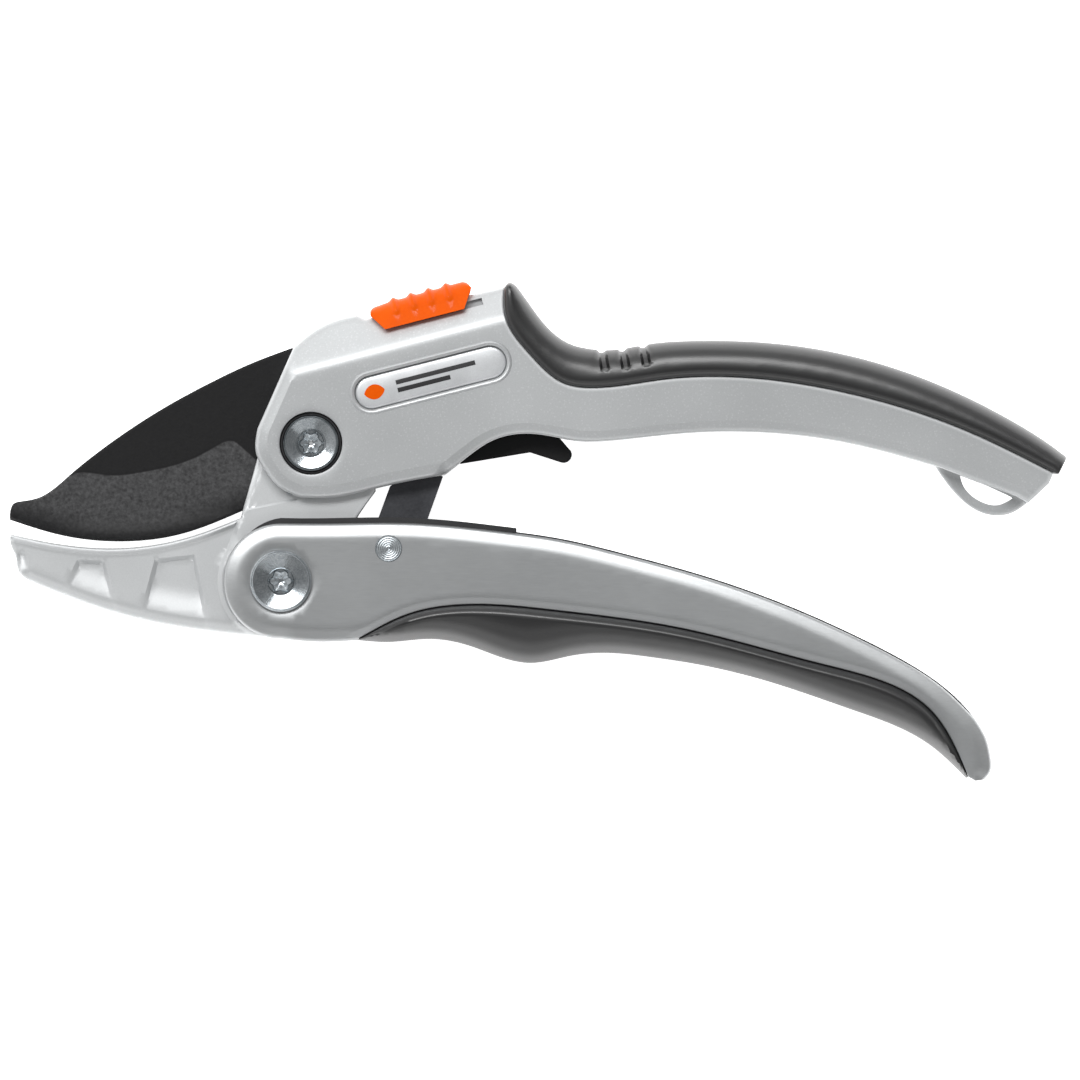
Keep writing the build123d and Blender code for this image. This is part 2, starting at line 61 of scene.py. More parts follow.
# Vertices nearer than this are merged, and edges shorter than this are dropped, in metres.
MERGE_WITHIN = 2e-6
COLLAPSED = 1e-7


class Body(Enum):
    """The rigid bodies of the frame that a piece can ride on."""

    ROOT = "root"
    BLADE = "blade"
    LOCK = "lock"
    LOWER_HANDLE = "lower_handle"


# ---------------------------------------------------------------- curves and distances
def curve_through(points: Sequence[Point], step: float = 0.6) -> Points:
    """A smooth curve through drawn points: a natural cubic in the running chord length.

    The second derivatives solve one linear system, and the cubic between two knots is their
    blend with weights (a^3 - a) and (b^3 - b).

    Args:
        points: The drawn points, in mm from the blade's pivot.
        step: The spacing of the points returned, in mm.

    Returns:
        The points along the curve, ends included.
    """
    knots = np.asarray(points, dtype=float)
    gaps = np.hypot(*np.diff(knots, axis=0).T)
    run = np.concatenate([[0.0], np.cumsum(gaps)])
    count = len(knots)
    system = np.eye(count)
    rows = np.arange(1, count - 1)
    system[rows, rows - 1] = gaps[:-1] / 6
    system[rows, rows] = (gaps[:-1] + gaps[1:]) / 3
    system[rows, rows + 1] = gaps[1:] / 6
    slopes = np.diff(knots, axis=0) / gaps[:, None]
    right = np.zeros_like(knots)
    right[1:-1] = np.diff(slopes, axis=0)
    bends = np.linalg.solve(system, right)
    places = np.linspace(0.0, run[-1], max(3, int(run[-1] / step) + 1))
    cell = np.clip(np.searchsorted(run, places, side="right") - 1, 0, count - 2)
    width = gaps[cell][:, None]
    after = (places - run[cell])[:, None] / width
    before = 1 - after
    bow = (before ** 3 - before) * bends[cell] + (after ** 3 - after) * bends[cell + 1]
    return before * knots[cell] + after * knots[cell + 1] + bow * width ** 2 / 6


def straight_through(points: Sequence[Point], step: float = 0.6) -> Points:
    """Points every step mm along the straight runs between drawn points, corners included."""
    knots = np.asarray(points, dtype=float)
    gaps = np.hypot(*np.diff(knots, axis=0).T)
    run = np.concatenate([[0.0], np.cumsum(gaps)])
    places = np.union1d(run, np.linspace(0.0, run[-1], max(2, int(run[-1] / step) + 1)))
    places = places[np.concatenate([[True], np.diff(places) > SAME_POINT])]
    return np.stack([np.interp(places, run, knots[:, 0]), np.interp(places, run, knots[:, 1])], axis=1)


def arc_points(centre: Point, radius: float, start: float, stop: float, count: int = 24) -> Points:
    """Points on a circle's arc between two angles in degrees."""
    turn = np.radians(np.linspace(start, stop, count))
    return np.asarray(centre) + radius * np.stack([np.cos(turn), np.sin(turn)], axis=1)


def closed_loop(*runs: Points) -> Points:
    """Join runs into one loop, drop repeated points and turn it anticlockwise."""
    loop = np.concatenate(runs)
    gaps = np.hypot(*(loop - np.roll(loop, 1, axis=0)).T)
    loop = loop[gaps > SAME_POINT]
    x, y = loop.T
    area = np.sum(x * np.roll(y, -1) - np.roll(x, -1) * y)
    return loop if area > 0 else loop[::-1]


def path_distance(points: Points, path: Points, closed: bool = False) -> Points:
    """Each point's distance to a polyline: to the nearest point of its nearest segment."""
    start = path if closed else path[:-1]
    span = np.roll(path, -1, axis=0) - path if closed else np.diff(path, axis=0)
    size = np.maximum(np.sum(span ** 2, axis=1), SMALLEST)
    parts = []
    for some in np.array_split(points, max(1, len(points) // BATCH)):
        away = some[:, None, :] - start[None, :, :]
        share = np.clip(np.sum(away * span, axis=2) / size, 0.0, 1.0)
        parts.append(np.sqrt(np.min(np.sum((away - share[..., None] * span) ** 2, axis=2), axis=1)))
    return np.concatenate(parts)


def inside_loop(points: Points, loop: Points) -> Points:
    """Which points lie inside a loop: a line to the right crosses it an odd number of times."""
    x0, y0 = loop.T
    x1, y1 = np.roll(loop, -1, axis=0).T
    rise = np.where(np.abs(y1 - y0) < SMALLEST, SMALLEST, y1 - y0)
    parts = []
    for some in np.array_split(points, max(1, len(points) // BATCH)):
        x, y = some[:, :1], some[:, 1:]
        between = (y0 > y) != (y1 > y)
        crossing = between & (x < x0 + (y - y0) * (x1 - x0) / rise)
        parts.append(np.count_nonzero(crossing, axis=1) % 2 == 1)
    return np.concatenate(parts)


def loop_depth(points: Points, loop: Points) -> Points:
    """Distance inside a loop: positive inside it and negative outside."""
    return path_distance(points, loop, closed=True) * np.where(inside_loop(points, loop), 1.0, -1.0)


def side_of_line(points: Points, start: Point, stop: Point) -> Points:
    """Distance to the left of the line from start to stop."""
    run = np.subtract(stop, start)
    run = run / np.hypot(*run)
    away = points - np.asarray(start)
    return run[0] * away[:, 1] - run[1] * away[:, 0]


def beside(path: Points, shift: float) -> Points:
    """A path moved to its left by a shift, along its own normals."""
    along = np.gradient(path, axis=0)
    normal = np.stack([-along[:, 1], along[:, 0]], axis=1) / np.hypot(*along.T)[:, None]
    return path + normal * shift


def lower_of(first: Points, second: Points, blend: float) -> Points:
    """The lower of two heights, eased together where they differ by less than the blend."""
    share = np.clip(0.5 + 0.5 * (second - first) / blend, 0.0, 1.0)
    return second + (first - second) * share - blend * share * (1 - share)


def ease(value: Points, low: float, high: float) -> Points:
    """A share from 0 at low to 1 at high, level at both ends: 3t^2 - 2t^3."""
    share = np.clip((value - low) / (high - low), 0.0, 1.0)
    return share * share * (3 - 2 * share)


def round_over(depth: Points, radius: float, drop: float) -> Points:
    """How far a rounded edge lies below its face: a quarter ellipse of that radius and drop."""
    share = 1 - np.clip(depth / radius, 0.0, 1.0)
    return drop * (1 - np.sqrt(np.clip(1 - share ** 2, 0.0, 1.0)))


def chamfer_drop(depth: Points, width: float, drop: float) -> Points:
    """How far a flat facet lies below its face: even from nothing at its width to drop at the edge."""
    return drop * np.clip(1 - depth / width, 0.0, 1.0)


# ---------------------------------------------------------------- meshes
def make_object(name: str, vertices: Points, faces: list, flat_angle: float = 32.0) -> bpy.types.Object:
    """Put whole arrays into a mesh object at the origin.

    Args:
        name: The object's name.
        vertices: Places in mm from the blade's pivot, with Z up from the base.
        faces: Lists of vertex indexes.
        flat_angle: Edges that turn by more than this many degrees stay crisp.

    Returns:
        The new object, merged and with faces that point outwards.
    """
    mesh = bpy.data.meshes.new(name)
    placed = (np.asarray(vertices, dtype=float) + [PIVOT[0], PIVOT[1], 0.0]) * MM
    mesh.from_pydata(placed.tolist(), [], faces)
    tidy_mesh(mesh, flat_angle)
    piece = bpy.data.objects.new(name, mesh)
    bpy.context.scene.collection.objects.link(piece)
    return piece


def tidy_mesh(mesh: bpy.types.Mesh, flat_angle: float) -> None:
    """Merge doubles, drop collapsed faces, turn faces outwards and set smooth or crisp edges."""
    work = bmesh.new()
    work.from_mesh(mesh)
    bmesh.ops.remove_doubles(work, verts=work.verts, dist=MERGE_WITHIN)
    bmesh.ops.dissolve_degenerate(work, dist=COLLAPSED, edges=work.edges)
    bmesh.ops.recalc_face_normals(work, faces=work.faces)
    work.to_mesh(mesh)
    work.free()
    mesh.polygons.foreach_set("use_smooth", np.ones(len(mesh.polygons), dtype=bool))
    mesh.set_sharp_from_angle(angle=math.radians(flat_angle))
    mesh.update()


def grid_faces(rows: int, columns: int, wrap: bool = False) -> list:
    """Faces of a grid of rows by columns, joined round its columns if wrap is set."""
    index = np.arange(rows * columns).reshape(rows, columns)
    across = np.roll(index, -1, axis=1) if wrap else index[:, 1:]
    here = index if wrap else index[:, :-1]
    quads = np.stack([here[:-1], across[:-1], across[1:], here[1:]], axis=-1)
    return quads.reshape(-1, 4).tolist()


def prism(name: str, outline: Points, half: float, middle: float = 0.0) -> bpy.types.Object:
    """A straight-sided block over a loop, from half below to half above a height off the mid-plane."""
    outline = closed_loop(np.asarray(outline, dtype=float))
    count = len(outline)
    low = np.column_stack([outline, np.full(count, MID_HEIGHT + middle - half)])
    high = np.column_stack([outline, np.full(count, MID_HEIGHT + middle + half)])
    around = np.arange(count)
    after = np.roll(around, -1)
    walls = np.stack([around, after, after + count, around + count], axis=1).tolist()
    caps = [around[::-1].tolist(), (around + count).tolist()]
    return make_object(name, np.concatenate([low, high]), walls + caps)


class Join(Enum):
    """How one solid acts on another."""

    CUT = "DIFFERENCE"
    ADD = "UNION"


def combine(piece: bpy.types.Object, others: Sequence[bpy.types.Object], how: Join,
            flat_angle: float = 32.0) -> None:
    """Cut other closed solids out of a piece, or add them to it, and discard them."""
    for other in others:
        step = piece.modifiers.new(other.name, "BOOLEAN")
        step.operation = how.value
        step.solver = "EXACT"
        step.object = other
    bpy.context.view_layer.update()
    shaped = bpy.data.meshes.new_from_object(piece.evaluated_get(bpy.context.evaluated_depsgraph_get()))
    piece.modifiers.clear()
    before = piece.data
    shaped.name = before.name
    piece.data = shaped
    bpy.data.meshes.remove(before)
    for other in others:
        bpy.data.objects.remove(other)
    tidy_mesh(piece.data, flat_angle)


def set_attribute(piece: bpy.types.Object, name: str, rule: Callable[[Points], Points]) -> None:
    """Store a number at each vertex, worked out from its place in mm from the blade's pivot."""
    count = len(piece.data.vertices)
    places = np.empty(count * 3)
    piece.data.vertices.foreach_get("co", places)
    flat = places.reshape(-1, 3)[:, :2] / MM - PIVOT
    values = piece.data.attributes.new(name, "FLOAT", "POINT")
    values.data.foreach_set("value", rule(flat).astype(np.float32))


# ---------------------------------------------------------------- reliefs and turned pieces
# How near a relief's points may come to its outline and to a crease, in mm.
EDGE_GAP = 0.06
CREASE_END_GAP = 0.08
CREASE_GAP = 0.12
# How far a row may stray from its own depth, in mm: a fixed part and a part of the depth.
ROW_SLACK = 0.04
ROW_SLACK_SHARE = 0.02
# Rows deeper than this keep every second point, in mm.
SPARSE_DEPTH = 2.0
# The even field as shares of its spacing: its rows, and its gap to the last row and to a crease.
FIELD_ROW = 0.87
FIELD_EDGE_GAP = 0.45
FIELD_CREASE_GAP = 0.4


@dataclass
class Relief:
    """A plate whose half thickness varies over its outline, meshed with rows along its edges.

    The area is filled with rows of points that follow the outline inwards, rows along each crease,
    and an even field between them. The front and the back are the same area lifted and lowered.
    """

    outline: Points
    height: Callable[[Points, Points], Points]
    back_height: Callable[[Points, Points], Points] | None = None
    rows: Sequence[float] = (0.15, 0.35, 0.6, 1.0, 1.5, 2.1, 2.8)
    creases: Sequence[Points] = ()
    spacing: float = 1.3
    closest: float = 0.05

    def _field(self) -> Points:
        """All the points of the area: outline, edge rows, crease rows and field."""
        along = np.roll(self.outline, -1, axis=0) - np.roll(self.outline, 1, axis=0)
        normal = np.stack([-along[:, 1], along[:, 0]], axis=1) / np.hypot(*along.T)[:, None]
        kept = [self.outline]
        ridges = list(self.creases)
        crease_points = np.concatenate(ridges) if ridges else np.empty((0, 2))
        if len(crease_points):
            crease_points = crease_points[loop_depth(crease_points, self.outline) > CREASE_END_GAP]
        for row in self.rows:
            moved = (self.outline + normal * row)[::1 if row < SPARSE_DEPTH else 2]
            depth = loop_depth(moved, self.outline)
            keep = np.abs(depth - row) < ROW_SLACK + ROW_SLACK_SHARE * row
            if len(crease_points):
                keep &= self._nearest(moved, ridges) > CREASE_GAP
            kept.append(moved[keep])
        low, high = self.outline.min(axis=0), self.outline.max(axis=0)
        x = np.arange(low[0], high[0], self.spacing)
        y = np.arange(low[1], high[1], self.spacing * FIELD_ROW)
        across, up = np.meshgrid(x, y)
        across = across + np.where(np.arange(len(y)) % 2, self.spacing / 2, 0.0)[:, None]
        fill = np.column_stack([across.ravel(), up.ravel()])
        fill = fill[loop_depth(fill, self.outline) > self.rows[-1] + FIELD_EDGE_GAP * self.spacing]
        if ridges:
            fill = fill[self._nearest(fill, ridges) > FIELD_CREASE_GAP * self.spacing]
            kept.append(crease_points)
        kept.append(fill)
        others = np.concatenate(kept[1:])
        others = others[path_distance(others, self.outline, closed=True) > EDGE_GAP]
        cells = np.unique(np.round(others / self.closest), axis=0, return_index=True)[1]
        return np.concatenate([self.outline, others[np.sort(cells)]])

    @staticmethod
    def _nearest(points: Points, paths: Sequence[Points]) -> Points:
        """Each point's distance to the nearest of several polylines."""
        return np.min(np.stack([path_distance(points, path) for path in paths]), axis=0)

    def build(self, name: str, flat_angle: float = 32.0) -> bpy.types.Object:
        """Mesh the area and lift it: z is the mid-height plus or minus the half thickness."""
        points = self._field()
        count = len(self.outline)
        ring = np.arange(count)
        edges = np.stack([ring, np.roll(ring, -1)], axis=1).tolist()
        flat = [Vector(pair) for pair in points.tolist()]
        found = delaunay_2d_cdt(flat, edges, [], 0, 1e-6, False)
        if len(found[0]) != len(points):
            points = np.array([tuple(pair) for pair in found[0]])
        triangles = np.asarray(found[2])
        middles = points[triangles].mean(axis=1)
        triangles = triangles[inside_loop(middles, self.outline)]
        a, b, c = (points[triangles[:, k]] for k in range(3))
        turn = (b - a)[:, 0] * (c - a)[:, 1] - (b - a)[:, 1] * (c - a)[:, 0]
        triangles = np.where(turn[:, None] > 0, triangles, triangles[:, ::-1])
        depth = np.maximum(loop_depth(points, self.outline), 0.0)
        front = self.height(points, depth)
        back = self.back_height(points, depth) if self.back_height else front
        total = len(points)
        above = np.column_stack([points, MID_HEIGHT + front])
        below = np.column_stack([points, MID_HEIGHT - back])
        after = np.roll(ring, -1)
        walls = np.stack([ring + total, after + total, after, ring], axis=1)
        faces = triangles.tolist() + (triangles[:, ::-1] + total).tolist() + walls.tolist()
        return make_object(name, np.concatenate([above, below]), faces, flat_angle)


@dataclass
class Turned:
    """A turned piece: a profile of radius and height carried round an upright axis.

    A profile that starts away from the axis is a ring's section, and is closed on itself.
    """

    place: Point
    profile: Sequence[Point]
    sides: int = 96

    def build(self, name: str, flat_angle: float = 32.0) -> bpy.types.Object:
        """Carry the profile round: x = r cos(angle), y = r sin(angle), z = height off the mid-plane."""
        outline = np.asarray(self.profile, dtype=float)
        angle = np.arange(self.sides) * 2 * math.pi / self.sides
        radius = np.repeat(outline[:, :1], self.sides, axis=1)
        height = np.repeat(outline[:, 1:], self.sides, axis=1)
        x = self.place[0] + radius * np.cos(angle)
        y = self.place[1] + radius * np.sin(angle)
        vertices = np.stack([x, y, MID_HEIGHT + height], axis=-1).reshape(-1, 3)
        faces = grid_faces(len(outline), self.sides, wrap=True)
        if outline[0, 0] > 0:
            last = (len(outline) - 1) * self.sides
            ring = np.arange(self.sides)
            after = np.roll(ring, -1)
            faces += np.stack([ring + last, after + last, after, ring], axis=1).tolist()
        return make_object(name, vertices, faces, flat_angle)


def soft_profile(points: Sequence[Point], step: float) -> list[Point]:
    """A profile's straight runs cut into short steps, so its corners stay where they are drawn."""
    return straight_through(points, step).tolist()


# ---------------------------------------------------------------- finishes
def linear(code: str) -> tuple[float, float, float, float]:
    """An sRGB hex colour as linear light: c / 12.92 below 0.04045, else ((c + 0.055) / 1.055) ^ 2.4."""
    shares = (int(code[k:k + 2], 16) / 255 for k in (1, 3, 5))
    red, green, blue = (c / 12.92 if c <= 0.04045 else ((c + 0.055) / 1.055) ** 2.4 for c in shares)
    return red, green, blue, 1.0


def add_node(tree: bpy.types.NodeTree, kind: str, inputs: dict | None = None,
             **settings: object) -> bpy.types.Node:
    """Add a node with its settings, and set or link its inputs.

    Args:
        tree: The material's node tree.
        kind: The node's type name.
        inputs: Values or output sockets, by the input's name or number.
        **settings: Properties of the node.

    Returns:
        The new node.
    """
    node = tree.nodes.new(kind)
    for name, value in settings.items():
        setattr(node, name, value)
    for name, value in (inputs or {}).items():
        if isinstance(value, bpy.types.NodeSocket):
            tree.links.new(value, node.inputs[name])
        else:
            node.inputs[name].default_value = value
    return node


def ranged(tree: bpy.types.NodeTree, value: bpy.types.NodeSocket, start: float, stop: float,
           low: float = 0.0, high: float = 1.0, **settings: object) -> bpy.types.NodeSocket:
    """A value carried from start..stop to low..high, and held past its ends."""
    return add_node(tree, "ShaderNodeMapRange", {"Value": value, "From Min": start, "From Max": stop,
                                                 "To Min": low, "To Max": high}, **settings).outputs[0]


# Where two noises added together begin and end to count, and the flecks' size and edge as shares.
NOISE_LOW = 0.7
NOISE_HIGH = 1.3
FLECK_SIZE = 2.2
FLECK_EDGE = 0.32
FLECK_CORE = 0.12
# The wave texture's scale for one ring in each unit of length.
WAVE_SCALE = 0.314


@dataclass(frozen=True)
class Finish:
    """A real material and its surface: two tones in a grain, its gloss and its relief.

    grain_mm is the size of the surface's own grain, cloud_mm that of slow changes of tone. stretch
    draws the grain out along X, as brushing does. mask names an attribute that mixes in the third
    tone, between mask_from and mask_to.
    """

    name: str
    slot: str
    dark: str
    light: str
    metallic: float
    roughness: float
    roughness_swing: float
    grain_mm: float
    cloud_mm: float
    relief_mm: float
    stretch: float = 1.0
    mask: str = ""
    mask_tone: str = "#FFFFFF"
    mask_from: float = 0.0
    mask_to: float = 1.0
    coat: float = 0.0
    coat_roughness: float = 0.1
    speckle: float = 0.0
    speckle_tone: str = "#FFFFFF"
    tilt: float = 0.0
    turned_about: tuple[float, float] | None = None
    turning_mm: float = 0.24
    specular: float = 0.5
    mask_grain: float = 0.86

    def material(self) -> bpy.types.Material:
        """The finish's node material, made once."""
        known = bpy.data.materials.get(self.name)
        if known:
            return known
        made = bpy.data.materials.new(self.name)
        made.use_nodes = True
        tree = made.node_tree
        tree.nodes.clear()
        place = add_node(tree, "ShaderNodeTexCoord").outputs["Object"]
        drawn = add_node(tree, "ShaderNodeMapping", {"Vector": place, "Scale": (1 / self.stretch, 1.0, 1.0),
                                                     "Rotation": (0.0, 0.0, self.tilt)}).outputs["Vector"]
        grain = self._noise(tree, drawn, self.grain_mm, 3.0, 0.6)
        cloud = self._noise(tree, place, self.cloud_mm, 2.0, 0.5)
        both = add_node(tree, "ShaderNodeMath", {0: grain, 1: cloud}, operation="ADD").outputs[0]
        gloss = ranged(tree, both, NOISE_LOW, NOISE_HIGH, self.roughness - self.roughness_swing,
                       self.roughness + self.roughness_swing)
        shader = add_node(tree, "ShaderNodeBsdfPrincipled",
                          {"Base Color": self._tone(tree, place, both), "Roughness": gloss,
                           "Normal": self._bumps(tree, place, grain), "Metallic": self.metallic,
                           "Coat Weight": self.coat, "Coat Roughness": self.coat_roughness,
                           "Specular IOR Level": self.specular})
        add_node(tree, "ShaderNodeOutputMaterial", {"Surface": shader.outputs[0]})
        return made

    def _tone(self, tree: bpy.types.NodeTree, place: bpy.types.NodeSocket,
              both: bpy.types.NodeSocket) -> bpy.types.NodeSocket:
        """The colour: two tones by the grain and the cloud, then the flecks, then the mask's tone."""
        share = ranged(tree, both, NOISE_LOW, NOISE_HIGH)
        tone = self._mix(tree, share, linear(self.dark), linear(self.light))
        if self.speckle:
            scale = 1 / (FLECK_SIZE * self.grain_mm * MM)
            fleck = add_node(tree, "ShaderNodeTexVoronoi", {"Vector": place, "Scale": scale}).outputs[0]
            spots = ranged(tree, fleck, FLECK_EDGE, FLECK_CORE, 0.0, self.speckle)
            tone = self._mix(tree, spots, tone, linear(self.speckle_tone))
        if self.mask:
            mask = add_node(tree, "ShaderNodeAttribute", attribute_name=self.mask).outputs["Fac"]
            amount = ranged(tree, mask, self.mask_from, self.mask_to)
            dim = tuple(self.mask_grain * c for c in linear(self.mask_tone)[:3]) + (1.0,)
            tone = self._mix(tree, amount, tone, self._mix(tree, share, dim, linear(self.mask_tone)))
        return tone

    def _bumps(self, tree: bpy.types.NodeTree, place: bpy.types.NodeSocket,
               grain: bpy.types.NodeSocket) -> bpy.types.NodeSocket:
        """The surface's relief: its grain, or the rings that a lathe leaves about a centre."""
        height = grain
        if self.turned_about:
            centre = [-(PIVOT[k] + self.turned_about[k]) * MM for k in (0, 1)]
            shift = {"Vector": place, "Location": (*centre, 0.0)}
            rings = {"Vector": add_node(tree, "ShaderNodeMapping", shift).outputs[0],
                     "Scale": WAVE_SCALE / (self.turning_mm * MM), "Distortion": 0.4, "Detail": 1.0}
            height = add_node(tree, "ShaderNodeTexWave", rings, wave_type="RINGS",
                              rings_direction="Z").outputs["Fac"]
        return add_node(tree, "ShaderNodeBump", {"Height": height, "Distance": self.relief_mm * MM,
                                                 "Strength": 1.0}).outputs[0]

    @staticmethod
    def _noise(tree: bpy.types.NodeTree, place: bpy.types.NodeSocket, size_mm: float, detail: float,
               roughness: float) -> bpy.types.NodeSocket:
        """Noise of a size in mm."""
        return add_node(tree, "ShaderNodeTexNoise", {"Vector": place, "Scale": 1 / (size_mm * MM),
                                                     "Detail": detail, "Roughness": roughness}).outputs["Fac"]

    @staticmethod
    def _mix(tree: bpy.types.NodeTree, share: bpy.types.NodeSocket, first: object,
             second: object) -> bpy.types.NodeSocket:
        """A colour between two, by a share."""
        node = add_node(tree, "ShaderNodeMix", {0: share, 6: first, 7: second}, data_type="RGBA")
        return node.outputs[2]


# Powder paint over cast aluminium: even silver with a fine sparkle, and a painted highlight that makes it
# paler towards its edges.
CAST_SILVER = Finish("powder_paint_silver", "cast_silver", "#A2A4A5", "#AEB0B1", 0.5, 0.42, 0.03,
                     0.3, 30.0, 0.006, mask="rim", mask_tone="#D0D2D3", mask_from=0.9, mask_to=0.0,
                     speckle=0.16, speckle_tone="#E0E2E3")
# The anvil's casting, tumbled and clear painted: lighter and smoother than the handle, with a painted
# highlight that makes it paler towards its edges.
CAST_LIGHT = Finish("tumbled_cast_aluminium", "cast_light", "#B4B6B7", "#BEC0C1", 0.4, 0.42, 0.04,
                    0.3, 20.0, 0.005, mask="rim", mask_tone="#D8DADB", mask_from=0.9, mask_to=0.0)
# Rolled aluminium sheet, folded and satin brushed along its length: soft, with a painted highlight that makes
# it paler over its rim.
SATIN_ALUMINIUM = Finish("satin_rolled_aluminium", "satin_aluminium", "#9FA1A2", "#A5A7A8", 0.8, 0.38, 0.02,
                         0.25, 24.0, 0.001, stretch=9.0, mask="rim", mask_tone="#B8BABB", mask_from=3.2,
                         mask_to=0.8, tilt=0.15)
# Soft thermoplastic rubber, moulded with a fine spark grain: dull and dark, pale at grazing edges.
SOFT_GRIP = Finish("moulded_soft_rubber", "soft_grip", "#0A0A0B", "#0F0F10", 0.0, 0.36, 0.03, 0.3, 20.0,
                   0.01, speckle=0.06, speckle_tone="#303032", specular=0.75)
# Glass-filled nylon, moulded: matt near-black.
BLACK_PLASTIC = Finish("moulded_black_nylon", "black_plastic", "#141416", "#1C1C1E", 0.0, 0.5, 0.06, 0.4,
                       6.0, 0.01)
# Non-stick fluoropolymer coat, sprayed over ground steel: flat black, and a pebbled grey over the bevel.
COATED_BLADE = Finish("sprayed_nonstick_coat", "coated_blade", "#101011", "#131314", 0.0, 0.5, 0.05, 0.5, 0.9,
                      0.03, mask="ground", mask_tone="#4A4A4B", mask_from=0.1, mask_to=1.0, specular=0.2,
                      mask_grain=0.4)
# Hot-blacked steel: blue-black with a low sheen.
BLACK_STEEL = Finish("blackened_steel", "black_steel", "#2E2F33", "#3C3D41", 0.3, 0.42, 0.06, 0.4, 5.0, 0.01)
# Zinc plate over turned steel: bright and slightly blue, with the tool's fine rings.
ZINC_STEEL = Finish("bright_zinc_plate", "zinc_steel", "#8C9296", "#B6BBBE", 1.0, 0.2, 0.06, 0.3, 4.0, 0.004)
# Drawn spring wire: plain grey steel with drawing lines.
SPRING_STEEL = Finish("drawn_spring_steel", "spring_steel", "#85878A", "#9EA0A3", 1.0, 0.34, 0.05, 0.2, 3.0,
                      0.003, stretch=4.0)
# Sintered bronze, oil-filled: dull warm brown-gold with open pores.
BRONZE = Finish("sintered_bronze", "bronze_bush", "#8F6E3C", "#B08A50", 1.0, 0.45, 0.08, 0.2, 2.0, 0.01,
                speckle=0.5, speckle_tone="#4A3820")
# Acetal, moulded and polished: glossy orange with a clear depth.
ORANGE_PLASTIC = Finish("polished_orange_acetal", "orange_plastic", "#CC4C00", "#D25200", 0.0, 0.36, 0.03,
                        0.6, 6.0, 0.002, coat=0.1, coat_roughness=0.1, specular=0.05)
# Doming resin over a printed silver foil: clear gloss on a fine metallic ground.
CLEAR_LABEL = Finish("resin_domed_foil", "clear_label", "#BCBEC0", "#CCCED0", 0.4, 0.35, 0.03, 0.25, 5.0,
                     0.001, coat=0.6, coat_roughness=0.16)


def turned_zinc(name: str, centre: tuple[float, float], relief: float = 0.008,
                roughness: float = 0.2) -> Finish:
    """Zinc plate over fine turning rings about a centre: bright and dark fans that face each other."""
    return replace(ZINC_STEEL, name=f"turned_zinc_{name}", turned_about=centre, relief_mm=relief,
                   roughness=roughness)


def dress_nodes(finish: Finish, *nodes: str) -> None:
    """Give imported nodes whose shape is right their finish."""
    for node in nodes:
        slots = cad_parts[node].data.materials
        if not slots:
            slots.append(finish.material())
        for place in range(len(slots)):
            slots[place] = finish.material()
        log.info("%s: kept as packed, %s", node, finish.name)


# ---------------------------------------------------------------- shared lines of the object
GRIP_SEAM = [(38.6, 31.2), (38.9, 24.9), (43.9, 17.5), (50.7, 11.9), (56.3, 11.1), (69.7, 12.7),
             (89.5, 12.9), (109.3, 9.5), (129.3, 3.1), (148.1, -5.9)]
HANDLE_BELLY = [(31.5, -2.5), (36.1, 0.5), (44.3, 1.9), (53.1, 0.5), (61.7, 0.7), (75.7, 2.1),
                (91.7, 2.1), (107.7, 0.0), (124.7, -4.5)]
LOWER_PIVOT = (-6.0, -27.5)
STRUT_PIVOT = (15.5, -21.0)
LOCK_ORIGIN = (11.8, 21.95)
LOCK_TURN = math.radians(14.5)
SHELL_TOP = [(5.7, -16.0), (17.7, -15.9), (27.7, -16.5), (37.7, -17.6), (49.7, -19.3), (61.7, -22.1),
             (77.7, -26.5), (97.7, -33.7), (107.7, -38.2), (117.7, -43.3), (126.0, -48.7), (132.4, -54.9)]
SHELL_SEAM = [(9.1, -39.3), (19.9, -33.9), (28.5, -32.3), (48.5, -33.3), (74.3, -37.0), (101.3, -43.9),
              (123.7, -53.3), (131.1, -66.5)]
# The slanted top over the lock's base line: where it starts and ends, and its half width up there.
SLANT_FOOT = -3.9
SLANT_TOP = 3.0
SLANT_TOP_HALF = 5.0
BODY_HALF = 8.6
GRIP_HALF = 10.0
NECK_HALF = 5.0
BLADE_HALF = 1.5
# Free play beside the blade, and the turn in degrees past which a casting's edges stay crisp.
BLADE_PLAY = 0.1
# How far a hole's cutter reaches to each side of the mid-plane, in mm.
THROUGH = 12.0
# The least sum of two distances that a share is taken of, in mm.
LEAST_SUM = 1e-6
CAST_CREASE = 14.0


def lock_point(along: float, height: float) -> Point:
    """A point of the lock's slanted axes, in mm from the blade's pivot."""
    return (LOCK_ORIGIN[0] + along * math.cos(LOCK_TURN) - height * math.sin(LOCK_TURN),
            LOCK_ORIGIN[1] + along * math.sin(LOCK_TURN) + height * math.cos(LOCK_TURN))


def lock_height(points: Points) -> Points:
    """Each point's height above the lock's slanted base line."""
    away = points - np.asarray(LOCK_ORIGIN)
    return away[:, 1] * math.cos(LOCK_TURN) - away[:, 0] * math.sin(LOCK_TURN)


def slanted_half(height: Points) -> Points:
    """Half width of the housing's slanted top at a height above the lock's base line."""
    return BODY_HALF - (height - SLANT_FOOT) * (BODY_HALF - SLANT_TOP_HALF) / (SLANT_TOP - SLANT_FOOT)


def bulge(spine: Points, seam: Points, reach: float, power: float) -> Points:
    """A grip's section from 0 at its back to 1: (1 - (1 - u)^power)^(1 / power), u even in reach.

    Args:
        spine: Each point's distance to the grip's back, in mm.
        seam: Each point's distance to the seam, in mm.
        reach: The share of the way to the seam over which the section rises.
        power: The section's power: 2 is a quarter circle, and more is squarer.

    Returns:
        The share of the full half thickness.
    """
    share = np.clip(spine / np.maximum(reach * (spine + seam), LEAST_SUM), 0.0, 1.0)
    return np.clip(1 - (1 - share) ** power, 0.0, 1.0) ** (1 / power)


